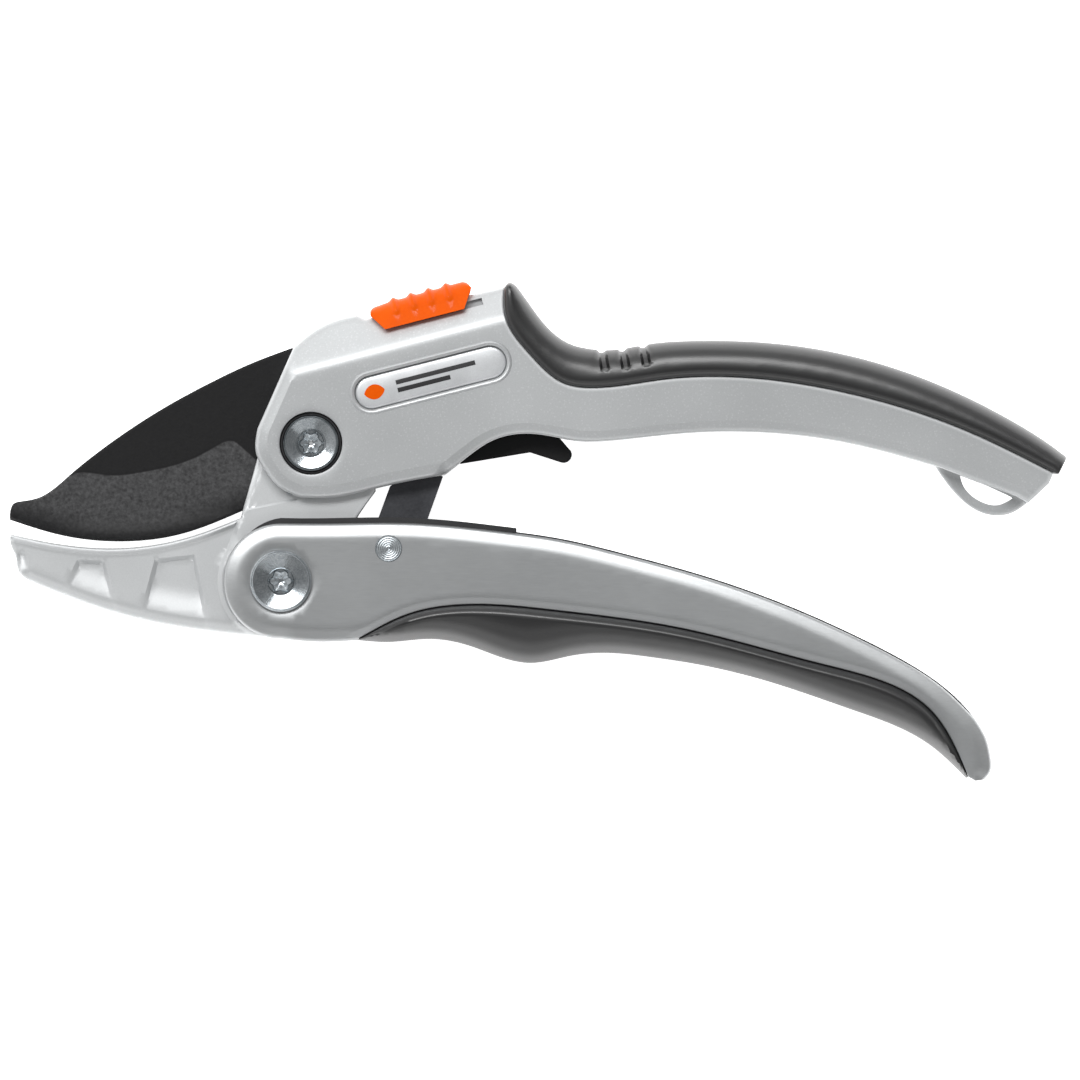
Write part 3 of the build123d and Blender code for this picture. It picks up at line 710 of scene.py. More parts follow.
def give(piece: bpy.types.Object, body: Body, finish: "Finish", *nodes: str) -> bpy.types.Object:
    """Dress a piece, let it ride on its body and say which nodes it stands for."""
    piece.data.materials.clear()
    piece.data.materials.append(finish.material())
    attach(piece, body.value)
    if nodes:
        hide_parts(*nodes)
    log.info("%s: %d faces on %s", piece.name, len(piece.data.polygons), body.value)
    return piece


# ---------------------------------------------------------------- upper handle
@dataclass
class UpperHandle:
    """The cast housing and handle, its grip, its hanging loop, the badge and the dowels."""

    under_points: tuple[Point, ...] = ((26.7, -6.3), (14.1, -8.7), (3.0, -10.9), (-2.3, -10.8))
    jaw_points: tuple[Point, ...] = ((-2.3, -10.8), (-5.9, -9.1), (-9.3, -5.3), (-11.0, -1.9), (-10.7, 2.9))
    nose_points: tuple[Point, ...] = ((-10.7, 2.9), (-3.5, 19.1))
    front_facet: float = 2.4
    belly_facet: float = 2.1
    facet_drop: float = 1.1
    front_round: Point = (0.9, 0.8)
    belly_round: Point = (0.5, 0.45)
    seam_round: Point = (0.45, 0.35)
    roof_round: Point = (0.7, 0.5)
    slant_blend: float = 0.55
    wall: float = 0.12
    wall_start: float = 0.1
    mouth_round: Point = (0.7, 0.35)
    recess_radius: float = 6.2
    recess_depth: float = 1.8
    badge_start: Point = (12.1, 10.1)
    badge_end: Point = (35.7, 16.1)
    badge_radius: float = 3.4
    badge_depth: float = 0.9
    badge_rim: float = 1.0
    badge_rise: float = 0.35
    badge_gap: float = 0.15
    badge_wall: Point = (-0.05, 0.12)
    badge_edge: float = 0.5
    badge_dome: float = 0.28
    badge_round: Point = (0.5, 0.3)
    badge_rings: tuple[float, ...] = (0.02, 0.15, 0.3, 0.45, 0.6, 0.72, 0.82, 0.9, 0.96, 1.0)
    badge_bars: tuple[tuple[float, float, float], ...] = ((5.2, 21.5, 0.75), (5.2, 16.0, -0.85))
    bar_half: float = 0.45
    leaf_middle: float = 0.6
    leaf_reach: float = 2.1
    leaf_half: float = 1.5
    leaf_point: float = 0.6
    mark_rise: float = 0.03
    loop_half: float = 3.0
    blade_sweep: float = 20.2
    tang_slot_half: float = 3.4
    lock_slot_floor: float = 5.0
    lock_slot_half: float = 5.0
    grip_edge: float = 2.2
    grip_share: float = 0.78
    grip_power: float = 2.4
    grip_tuck: float = 1.7
    grip_round: Point = (0.35, 0.25)
    groove_places: tuple[float, ...] = (58.3, 62.5, 66.7)
    groove_half: float = 1.0
    groove_notch: float = 0.5
    groove_reach: float = 3.9
    groove_depth: float = 1.3
    groove_lean: float = 0.18
    groove_level: float = 17.0
    groove_floor: float = 0.4
    groove_end: float = 0.7
    notch_shift: float = 0.36
    notch_floor: float = 0.3
    notches_from: float = 50.0

    def outline(self) -> Points:
        """The casting's outline: nose, roof, grip seam, end, belly, under-edge and jaw."""
        nose = curve_through([(-3.5, 19.1), (0.3, 22.3), (5.5, 24.8), lock_point(-1.6, 4.2)])
        roof = straight_through([tuple(nose[-1]), lock_point(-0.3, 3.0), GRIP_SEAM[0]])
        seam = curve_through(GRIP_SEAM)
        tail = straight_through([GRIP_SEAM[-1], (147.2, -8.0), (143.1, -11.9), (140.9, -10.6),
                                 HANDLE_BELLY[-1]])
        belly = curve_through(HANDLE_BELLY[::-1])
        under = curve_through(self.under_points)
        jaw = curve_through(self.jaw_points)
        front = straight_through(self.nose_points)
        step = straight_through([HANDLE_BELLY[0], self.under_points[0]])
        return closed_loop(nose, roof, seam, tail, belly, step, under, jaw, front)

    def _badge_depth(self, points: Points) -> Points:
        """Distance inside the badge's stadium of the recess radius."""
        axis = np.array([self.badge_start, self.badge_end])
        return self.badge_radius - path_distance(points, axis)

    def _front(self, points: Points, depth: Points) -> Points:
        """Half thickness at the front: facets, roundings and recesses taken off the flat side.

        The slanted top falls evenly above its line. The under-edges and the nose have a facet that
        falls evenly over its width, the seam a small rounding, the screw a stepped recess with a
        rounded mouth, and the badge a recess with a raised rim of half a sine.
        """
        height = self._back(points, depth)
        badge = self._badge_depth(points)
        rim = np.clip(1 + badge / self.badge_rim, 0.0, 1.0)
        height = height + self.badge_rise * np.sin(math.pi * rim) * (badge < 0)
        return height - self.badge_depth * ease(badge, *self.badge_wall)

    def _back(self, points: Points, depth: Points) -> Points:
        """Half thickness at the back: as the front, without the badge."""
        seam = path_distance(points, curve_through(GRIP_SEAM))
        front_edge = path_distance(points, self._front_edges())
        belly = path_distance(points, self._belly_edges())
        height = BODY_HALF - chamfer_drop(front_edge, self.front_facet, self.facet_drop)
        height -= round_over(front_edge, *self.front_round)
        height -= chamfer_drop(belly, self.belly_facet, self.facet_drop)
        height -= round_over(belly, *self.belly_round)
        height -= round_over(seam, *self.seam_round)
        slant = slanted_half(lock_height(points)) - round_over(depth, *self.roof_round)
        height = lower_of(height, slant, self.slant_blend)
        screw = np.hypot(*points.T)
        height -= self.recess_depth * ease(self.recess_radius + self.wall_start - screw, 0.0, self.wall)
        mouth = round_over(np.abs(screw - self.recess_radius), *self.mouth_round)
        height -= mouth * (screw > self.recess_radius)
        return height

    def _front_edges(self) -> Points:
        """The edges with the wide facet: nose side, jaw and the housing's under-edge."""
        return np.concatenate([curve_through(self.under_points), curve_through(self.jaw_points),
                               straight_through(self.nose_points)])

    def _belly_edges(self) -> Points:
        """The handle's belly, from the step behind the housing to the hanging loop."""
        end = straight_through([(124.7, -4.5), (140.9, -10.6), (143.1, -11.9)])
        step = straight_through([self.under_points[0], HANDLE_BELLY[0]])
        return np.concatenate([step, curve_through(HANDLE_BELLY), end])

    def _creases(self) -> list[Points]:
        """The lines where the surface turns: the slanted top's foot, the recess and the badge's rims."""
        lines = [straight_through([lock_point(-20.0, level), lock_point(28.0, level)])
                 for level in (-5.0, -4.4, -3.9, -3.4, -2.8)]
        for radius in (0.0, -0.12, 0.1, 0.35, 0.7):
            lines.append(arc_points((0.0, 0.0), self.recess_radius + radius, 0, 360, 90))
        for radius in (-0.12, 0.05, 0.3, 0.55, 0.8, self.badge_rim):
            left, right = self._stadium_ends(self.badge_radius + radius)
            sides = [straight_through([tuple(left[-1]), tuple(right[0])], 0.7),
                     straight_through([tuple(right[-1]), tuple(left[0])], 0.7)]
            lines.append(np.concatenate([left, sides[0][1:-1], right, sides[1][1:-1], left[:1]]))
        return lines

    def _stadium_ends(self, size: float) -> tuple[Points, Points]:
        """The two half circles of a stadium of that radius round the badge's axis."""
        run = np.subtract(self.badge_end, self.badge_start)
        turn = math.degrees(math.atan2(run[1], run[0]))
        return (arc_points(self.badge_start, size, turn + 90, turn + 270, 30),
                arc_points(self.badge_end, size, turn - 90, turn + 90, 30))

    def casting(self) -> bpy.types.Object:
        """The casting with its slots for the neck, the blade, the tang and the lock, and its loop."""
        rows = (0.12, 0.3, 0.5, 0.9, 1.4, 2.1, 2.4, 3.0)
        relief = Relief(self.outline(), self._front, self._back, rows=rows, creases=self._creases())
        piece = relief.build("casting", CAST_CREASE)
        loop_outer = curve_through([(124.7, -4.5), (129.9, -11.1), (134.9, -14.1), (139.7, -14.0),
                                    (143.1, -11.9)])
        loop_roof = straight_through([(143.1, -11.9), (141.8, -8.6), (126.0, -2.6), (124.7, -4.5)])
        loop = Relief(closed_loop(loop_outer, loop_roof),
                      lambda points, depth: self.loop_half - round_over(depth, 1.0, 1.0),
                      rows=(0.1, 0.25, 0.5, 0.8, 1.1), spacing=0.9).build("loop")
        hole = curve_through([(140.2, -11.0), (137.4, -12.3), (133.7, -11.6), (130.1, -8.1), (129.6, -6.4)],
                             0.3)
        inner = np.concatenate([hole, [(130.4, -6.3), (140.0, -10.7)]])
        combine(loop, [prism("loop_hole", inner, BODY_HALF)], Join.CUT)
        combine(piece, [loop], Join.ADD, CAST_CREASE)
        wedge = np.array([(0, 0), (-30, 12), (-30, -30), (0, -30)])
        sweep = arc_points((0.0, 0.0), self.blade_sweep, 0, 355, 72)
        along = [lock_point(*corner) for corner in ((7.7, -0.1), (23.3, -0.1), (23.3, 1.3), (7.7, 1.3))]
        lock_middle = self.lock_slot_floor + self.lock_slot_half
        slots = [
            prism("neck_pocket", [(-20, -20), (-20, 6), (-6, 12), (4, 12.5), (13.8, 8.5), (13.8, -20)],
                  NECK_HALF),
            prism("blade_slot", sweep, BLADE_HALF + BLADE_PLAY),
            prism("blade_mouth", wedge, BLADE_HALF + BLADE_PLAY),
            prism("tang_slot", [(10, -20), (10, 16), (17, 18.5), (29, 19.5), (40, 9), (48, 8.6), (55.2, 0.4),
                                (55.2, -20)], self.tang_slot_half),
            prism("lock_slot_front", along, self.lock_slot_half, lock_middle),
            prism("lock_slot_back", along, self.lock_slot_half, -lock_middle),
        ]
        combine(piece, slots, Join.CUT, CAST_CREASE)
        # The rim attribute drives a painted highlight: the casting is paler towards its outline.
        set_attribute(piece, "rim", self._rim)
        return give(piece, Body.ROOT, CAST_SILVER, "upper_handle")

    def _rim(self, points: Points) -> Points:
        """Distance from the casting's outline in mm, for the painted highlight along its edges."""
        return path_distance(points, self.outline(), closed=True)

    def _grip_outline(self) -> tuple[Points, Points]:
        """The grip's back line, with its blunt front end, and its whole outline."""
        back = curve_through([(38.6, 31.2), (39.0, 31.85), (39.7, 32.15), (40.6, 31.75), (41.7, 30.5),
                              (43.7, 27.7), (47.7, 22.7), (51.7, 19.9), (55.7, 18.9), (59.7, 18.7),
                              (67.7, 19.9), (75.7, 20.5), (83.7, 20.5), (99.7, 19.1), (115.7, 15.3),
                              (131.7, 8.9), (139.7, 4.7), (147.7, -0.3), (150.9, -2.7)], 0.35)
        for place in self.groove_places:
            near = np.abs(back[:, 0] - place + self.notch_shift)
            notch = self.groove_notch * (1 - ease(near, self.notch_floor, self.groove_half))
            back[:, 1] -= notch * (back[:, 0] > self.notches_from)
        return back, closed_loop(curve_through(GRIP_SEAM),
                                 straight_through([(148.1, -5.9), (149.1, -6.1), (150.9, -2.7)]), back[::-1])

    def _grip_half(self, points: Points, depth: Points) -> Points:
        """Half thickness of the grip: a superellipse of its back, tucked in at the seam and grooved.

        With u the share of the way from the back line to the seam, over the grip's own share, the
        half thickness is (1 - (1 - u)^power)^(1 / power) of the whole.
        """
        back, _ = self._grip_outline()
        seam = path_distance(points, curve_through(GRIP_SEAM))
        spine = path_distance(points, back)
        full = bulge(spine, seam, self.grip_share, self.grip_power)
        half = self.grip_edge + (GRIP_HALF - self.grip_edge) * full
        half -= round_over(seam, self.grip_tuck, self.grip_tuck)
        half -= round_over(depth, *self.grip_round)
        for place in self.groove_places:
            across = np.abs(points[:, 0] - place + self.groove_lean * (points[:, 1] - self.groove_level))
            within = 1 - ease(spine, self.groove_reach - self.groove_end, self.groove_reach)
            inside = (1 - ease(across, self.groove_floor, self.groove_half)) * within
            half -= self.groove_depth * inside
        return half

    def _groove_lines(self) -> list[Points]:
        """Rows along and beside each thumb groove."""
        shifts = (-1.0, -0.7, -0.4, 0.4, 0.7, 1.0)
        return [straight_through([(place + shift + 0.6, 13.6), (place + shift - 0.6, 20.4)], 0.35)
                for place in self.groove_places for shift in shifts]

    def grip(self) -> bpy.types.Object:
        """The soft grip over the handle's back."""
        _, outline = self._grip_outline()
        piece = Relief(outline, self._grip_half, rows=(0.08, 0.2, 0.35, 0.6, 0.9, 1.3, 1.8, 2.5),
                       creases=self._groove_lines(), spacing=1.1).build("upper_grip_soft", 40.0)
        return give(piece, Body.ROOT, SOFT_GRIP, "upper_grip")

    def _badge_dome(self, points: Points) -> Points:
        """Half thickness at the label: a thin edge rounded into a shallow parabola."""
        size = self.badge_radius - self.badge_gap
        axis = np.array([self.badge_start, self.badge_end])
        rise = np.clip(1 - path_distance(points, axis) / size, 0.0, 1.0)
        dome = self.badge_edge + self.badge_dome * (1 - (1 - rise) ** 2)
        return BODY_HALF - self.badge_depth + dome - round_over(rise * size, *self.badge_round)

    def badge(self) -> bpy.types.Object:
        """The plain domed label: rings that shrink to the stadium's axis, under a leaf and two bars."""
        outline = closed_loop(*self._stadium_ends(self.badge_radius - self.badge_gap))
        base = BODY_HALF - self.badge_depth
        start = np.asarray(self.badge_start)
        run = np.subtract(self.badge_end, self.badge_start)
        along = run / np.hypot(*run)
        across = np.array([-along[1], along[0]])
        share = np.clip((outline - start) @ run / np.hypot(*run) ** 2, 0.0, 1.0)[:, None]
        spine = start + share * run
        rings = [spine + (outline - spine) * reach for reach in self.badge_rings]
        top = [np.column_stack([ring, MID_HEIGHT + self._badge_dome(ring)]) for ring in rings]
        count = len(outline)
        under = [np.column_stack([ring, np.full(count, MID_HEIGHT + base)]) for ring in (rings[-1], rings[0])]
        around = np.arange(count)
        caps = [around.tolist(), (around[::-1] + (len(rings) + 1) * count).tolist()]
        piece = make_object("badge_label", np.concatenate(top + under),
                            grid_faces(len(rings) + 2, count, wrap=True) + caps, 40.0)
        turn = np.linspace(0.0, 2 * math.pi, 49)[:-1, None]
        point = np.sin(turn) * np.abs(np.sin(turn)) ** self.leaf_point
        reach = self.leaf_middle + self.leaf_reach * np.cos(turn)
        leaf = start + along * reach + across * self.leaf_half * point
        marks = [("badge_leaf", leaf, ORANGE_PLASTIC)]
        for number, (first, last, middle) in enumerate(self.badge_bars):
            low, high = middle - self.bar_half, middle + self.bar_half
            corners = [tuple(start + along * s + across * t)
                       for s, t in ((first, low), (last, low), (last, high), (first, high))]
            bar = straight_through(corners + corners[:1], 0.4)[:-1]
            marks.append((f"badge_bar_{number}", bar, BLACK_PLASTIC))
        for name, line, finish in marks:
            mark = Relief(closed_loop(line), lambda points, depth: self._badge_dome(points) + self.mark_rise,
                          lambda points, depth: np.full(len(points), -base), rows=(0.15,), spacing=0.5,
                          closest=0.1).build(name)
            give(mark, Body.ROOT, finish)
        return give(piece, Body.ROOT, CLEAR_LABEL, "badge")

    def build(self) -> None:
        """Build the upper handle's pieces and dress its hidden dowels."""
        self.casting()
        self.grip()
        self.badge()
        dress_nodes(ZINC_STEEL, "handle_dowels")


# ---------------------------------------------------------------- anvil and neck
@dataclass
class Anvil:
    """The anvil bar with its lip and pockets, and the two-cheek neck behind it."""

    arm_half: float = 4.4
    boss_radius: float = 12.7
    boss_line: tuple[Point, Point] = ((-18.2, -24.0), (-13.6, -12.5))
    boss_slope: float = 0.9
    lip_width: float = 1.1
    face_sink: float = 0.35
    pocket_depth: float = 1.1
    keel_width: float = 2.4
    keel_drop: float = 1.1
    keel_round: Point = (0.5, 0.5)
    arm_end: float = -15.0
    lip_rise: float = 0.45
    lip_ease: Point = (-0.3, 0.4)
    lip_round: Point = (0.4, 0.4)
    pocket_wall: float = 1.0
    pocket_fade: Point = (1.0, 8.0)
    pocket_least: float = 0.15
    step_sink: float = 0.35
    step_ease: Point = (-0.2, 0.25)
    step_from: float = -16.0
    edge_round: Point = (0.45, 0.35)
    hole_radius: float = 4.0
    spring_radius: float = 9.4
    spring_half: float = 1.4
    spring_sink: float = 1.3
    step_start: Point = (-14.1, -13.5)
    step_stop: Point = (-3.3, -11.3)
    face_points: tuple[Point, ...] = ((-60.3, -18.1), (-50.5, -20.1), (-38.0, -20.9), (-25.5, -19.0),
                                      (-14.1, -14.9))
    keel_points: tuple[Point, ...] = ((-6.0, -38.9), (-20.3, -37.5), (-40.3, -33.5), (-56.3, -27.5))
    pockets: tuple[tuple[Point, ...], ...] = (
        ((-59.0, -21.4), (-56.8, -21.6), (-54.4, -29.5), (-59.2, -29.5)),
        ((-46.7, -23.1), (-41.1, -23.4), (-37.8, -36.3), (-51.2, -32.4)),
        ((-31.3, -23.1), (-23.1, -22.1), (-19.6, -39.5), (-35.2, -37.8)),
    )

    def _keel(self) -> Points:
        """The anvil's underside."""
        return curve_through(self.keel_points)

    def outline(self) -> Points:
        """The outline: face, cheek, hidden crown, throat, round end, keel and nose."""
        face = curve_through(self.face_points)
        cheek = curve_through([(-14.1, -14.9), (-10.9, -3.5), (-8.2, 7.0)])
        crown = straight_through([(-8.2, 7.0), (-5.5, 11.0), (3.5, 11.5), (12.8, 7.5), (12.8, -9.6)])
        throat = curve_through([(12.8, -9.6), (9.7, -13.9), (6.4, -20.0)])
        end = arc_points(LOWER_PIVOT, 11.4, 40.0, -90.0, 60)
        nose = curve_through([(-56.3, -27.5), (-58.6, -25.2), (-58.9, -23.3), (-60.2, -19.6),
                              self.face_points[0]])
        return closed_loop(face, cheek, crown, throat, end, self._keel(), nose)

    def _half(self, points: Points, depth: Points) -> Points:
        """Half thickness: arm and raised boss, lip bead, sunk face, pockets and rounded keel.

        The lip is a bead of half a sine along the top. Each pocket runs out through the keel: its
        walls rise with an S-curve, and it gets shallower towards the keel.
        """
        boss = np.hypot(*(points - np.asarray(LOWER_PIVOT)).T)
        beside_neck = -side_of_line(points, self.boss_line[0], self.boss_line[1])
        on_boss = np.maximum(ease(-boss, -self.boss_radius, self.boss_slope - self.boss_radius),
                             ease(beside_neck, 0.0, self.boss_slope)
                             * (points[:, 1] > self.boss_line[0][1]))
        half = self.arm_half + (NECK_HALF - self.arm_half) * on_boss
        face = path_distance(points, curve_through(self.face_points))
        arm = points[:, 0] < self.arm_end
        lip = np.sin(math.pi * np.clip(face / self.lip_width, 0.0, 1.0))
        sunk = self.face_sink * ease(face, *(self.lip_width + shift for shift in self.lip_ease))
        half += np.where(arm, self.lip_rise * lip - sunk, 0.0)
        half -= round_over(face, *self.lip_round) * arm
        keel = path_distance(points, self._keel())
        half -= self.keel_drop * (1 - ease(keel, 0.0, self.keel_width)) + round_over(keel, *self.keel_round)
        fade = self.pocket_least + (1 - self.pocket_least) * ease(keel, *self.pocket_fade)
        for pocket in self.pockets:
            inside = loop_depth(points, np.asarray(pocket)[::-1])
            half -= self.pocket_depth * ease(inside, 0.0, self.pocket_wall) * fade
        above = side_of_line(points, self.step_start, self.step_stop)
        half -= self.step_sink * ease(above, *self.step_ease) * (points[:, 1] > self.step_from)
        return half - round_over(depth, *self.edge_round)

    def _creases(self) -> list[Points]:
        """Rows along the lip, the pockets' walls, the boss and the neck's step."""
        lines = []
        for pocket in self.pockets:
            loop = closed_loop(straight_through(list(pocket) + [pocket[0]], 0.5))
            lines.append(np.concatenate([loop, loop[:1]]))
            middle = loop.mean(axis=0)
            reach = np.hypot(*(loop - middle).T)[:, None]
            for inset in (0.35, 0.7, 1.0):
                inner = middle + (loop - middle) * (1 - 1.25 * inset / reach)
                lines.append(np.concatenate([inner, inner[:1]]))
        for radius in (self.boss_radius, self.boss_radius - 0.45, self.boss_radius - self.boss_slope):
            lines.append(arc_points(LOWER_PIVOT, radius, 150, 262, 60))
        for shift in (0.05, 0.4, 0.8):
            lines.append(beside(np.linspace(self.boss_line[0], self.boss_line[1], 24), -shift))
        for shift in (-0.2, 0.0, 0.25):
            lines.append(straight_through([(self.step_start[0], self.step_start[1] + shift),
                                           (self.step_stop[0], self.step_stop[1] + shift)]))
        return lines

    def build(self) -> bpy.types.Object:
        """The anvil body, with the blade's slot between its cheeks and its pivot holes."""
        piece = Relief(self.outline(), self._half, rows=(0.12, 0.3, 0.55, 0.85, 1.1, 1.5, 2.0, 2.5),
                       creases=self._creases(), spacing=1.1).build("anvil_casting")
        slot = [(-14.1, -14.8), (-8.0, -13.5), (30, -13.5), (30, 30), (-30, 30), (-30, -14.8)]
        cutters = [prism("cheek_slot", slot, BLADE_HALF + BLADE_PLAY),
                   prism("lower_hole", arc_points(LOWER_PIVOT, self.hole_radius, 0, 350, 36), THROUGH),
                   prism("upper_hole", arc_points((0.0, 0.0), self.hole_radius, 0, 350, 36), THROUGH),
                   prism("spring_pocket", arc_points(LOWER_PIVOT, self.spring_radius, 0, 350, 72),
                         self.spring_half, NECK_HALF - self.spring_sink)]
        combine(piece, cutters, Join.CUT)
        outline = self.outline()
        # The rim attribute drives a painted highlight: the anvil is paler towards its outline.
        set_attribute(piece, "rim", lambda points: path_distance(points, outline, closed=True))
        return give(piece, Body.ROOT, CAST_LIGHT, "anvil_body")


# ---------------------------------------------------------------- blade and strut
@dataclass
class Blade:
    """The coated blade with its bevel, notched tang and hooked tail."""

    edge_points: tuple[Point, ...] = ((-60.3, -15.3), (-50.0, -18.35), (-38.0, -19.6), (-26.0, -18.1),
                                      (-14.1, -13.6))
    bevel_line: tuple[Point, ...] = (
        (-56.5, -11.3), (-52.0, -9.2), (-47.3, -5.9), (-40.7, -6.2), (-34.5, -5.7), (-29.3, -4.7),
        (-23.3, -2.7), (-18.9, -0.3), (-17.2, 0.5), (-15.6, 0.6), (-14.2, -0.3), (-11.1, -3.1),
        (-6.0, -8.0), (-2.0, -11.4))
    bevel_width: float = 13.4
    edge_half: float = 0.12
    notch_radius: float = 1.95
    notch_start: Point = (22.7, -1.7)
    notch_pitch: float = 4.0
    notch_count: int = 3
    bush_hole: float = 5.25
    steep_within: float = 3.0
    steep_power: int = 6
    edge_round: Point = (0.25, 0.15)
    round_from: float = 1.2
    coat_least: float = 0.2
    coat_wear: Point = (0.3, 6.0)
    bevel_blend: float = 0.3

    def _bevel_area(self) -> Points:
        """The loop round the bevelled ground."""
        line = curve_through(self.bevel_line, 0.5)
        return closed_loop(line, np.array([(-2.0, -24.0), (-64.0, -24.0), (-64.0, -11.3)]))

    def outline(self) -> Points:
        """The outline: edge, heel, hook, tang top, crown, back and nose."""
        edge = curve_through(self.edge_points)
        heel = curve_through([(-14.1, -13.6), (-8.0, -11.6), (1.0, -9.8), (9.0, -7.0), (14.0, -4.2)])
        hook = straight_through([(14.0, -4.2), (28.8, -3.0), (29.8, -4.1), (43.7, -1.8), (49.9, -3.8)])
        tip = arc_points((50.45, -2.25), 1.62, -100, 35, 16)
        tang = straight_through([(51.6, -1.2), (49.3, 1.5), (45.0, 4.8), (30.0, 6.2), (14.0, 6.8)])
        crown = curve_through([(14.0, 6.8), (10.0, 9.0), (3.5, 16.0), (-3.9, 19.1)])
        back = curve_through([(-3.9, 19.1), (-12.3, 15.9), (-20.3, 12.1), (-28.3, 7.8), (-36.3, 2.8),
                              (-44.3, -3.0), (-48.3, -6.3), (-52.1, -9.5), (-54.2, -10.7), (-58.3, -11.6)])
        nose = curve_through([(-58.3, -11.6), (-59.5, -12.0), (-60.1, -13.0), (-60.3, -15.3)], 0.3)
        return closed_loop(edge, heel, hook, tip, tang, crown, back, nose)

    def _half(self, points: Points, depth: Points) -> Points:
        """Half thickness: flat, falling to the edge within the bevel, its shoulder slightly eased."""
        ground = np.maximum(loop_depth(points, self._bevel_area()), 0.0)
        edge = path_distance(points, curve_through(self.edge_points))
        share = ground / np.maximum(ground + edge, LEAST_SUM)
        whole = BLADE_HALF - self.edge_half
        fall = np.clip(ground / self.bevel_width, 0.0, 1.0) * whole
        fall = np.where(edge < self.steep_within, np.maximum(fall, share ** self.steep_power * whole), fall)
        return BLADE_HALF - fall - round_over(depth, *self.edge_round) * ease(edge, 0.0, self.round_from)

    def build(self) -> bpy.types.Object:
        """The blade, with its ratchet notches and pivot hole cut through."""
        line = curve_through(self.bevel_line, 0.4)
        creases = [beside(line, shift) for shift in (0.35, 0.0, -0.3, -0.6)]
        piece = Relief(self.outline(), self._half, rows=(0.1, 0.25, 0.6, 1.2, 2.2), creases=creases,
                       spacing=1.2).build("coated_blade", 20.0)
        cutters = [prism("bush_hole", arc_points((0.0, 0.0), self.bush_hole, 0, 350, 48), THROUGH / 2)]
        reach = math.hypot(*self.notch_start)
        for number in range(self.notch_count):
            share = 1 - self.notch_pitch * number / reach
            x, y = self.notch_start[0] * share, self.notch_start[1] * share
            top = arc_points((x, y), self.notch_radius, 0, 180, 16)
            rest = [(x - self.notch_radius, y), (x - 3.0, -12.0), (x + 5.4, -12.0), (x + 5.4, y - 1.1)]
            cutters.append(prism(f"notch_{number}", np.concatenate([top, rest]), THROUGH / 2))
        combine(piece, cutters, Join.CUT, 20.0)
        area = self._bevel_area()
        edge = curve_through(self.edge_points)

        def ground(points: Points) -> Points:
            """How grey the coat is: only over the bevel, and less towards the edge."""
            bevel = np.clip(loop_depth(points, area) / self.bevel_blend, 0.0, 1.0)
            wear = ease(path_distance(points, edge), *self.coat_wear)
            return bevel * (self.coat_least + (1 - self.coat_least) * wear)

        set_attribute(piece, "ground", ground)
        return give(piece, Body.BLADE, COATED_BLADE, "blade")


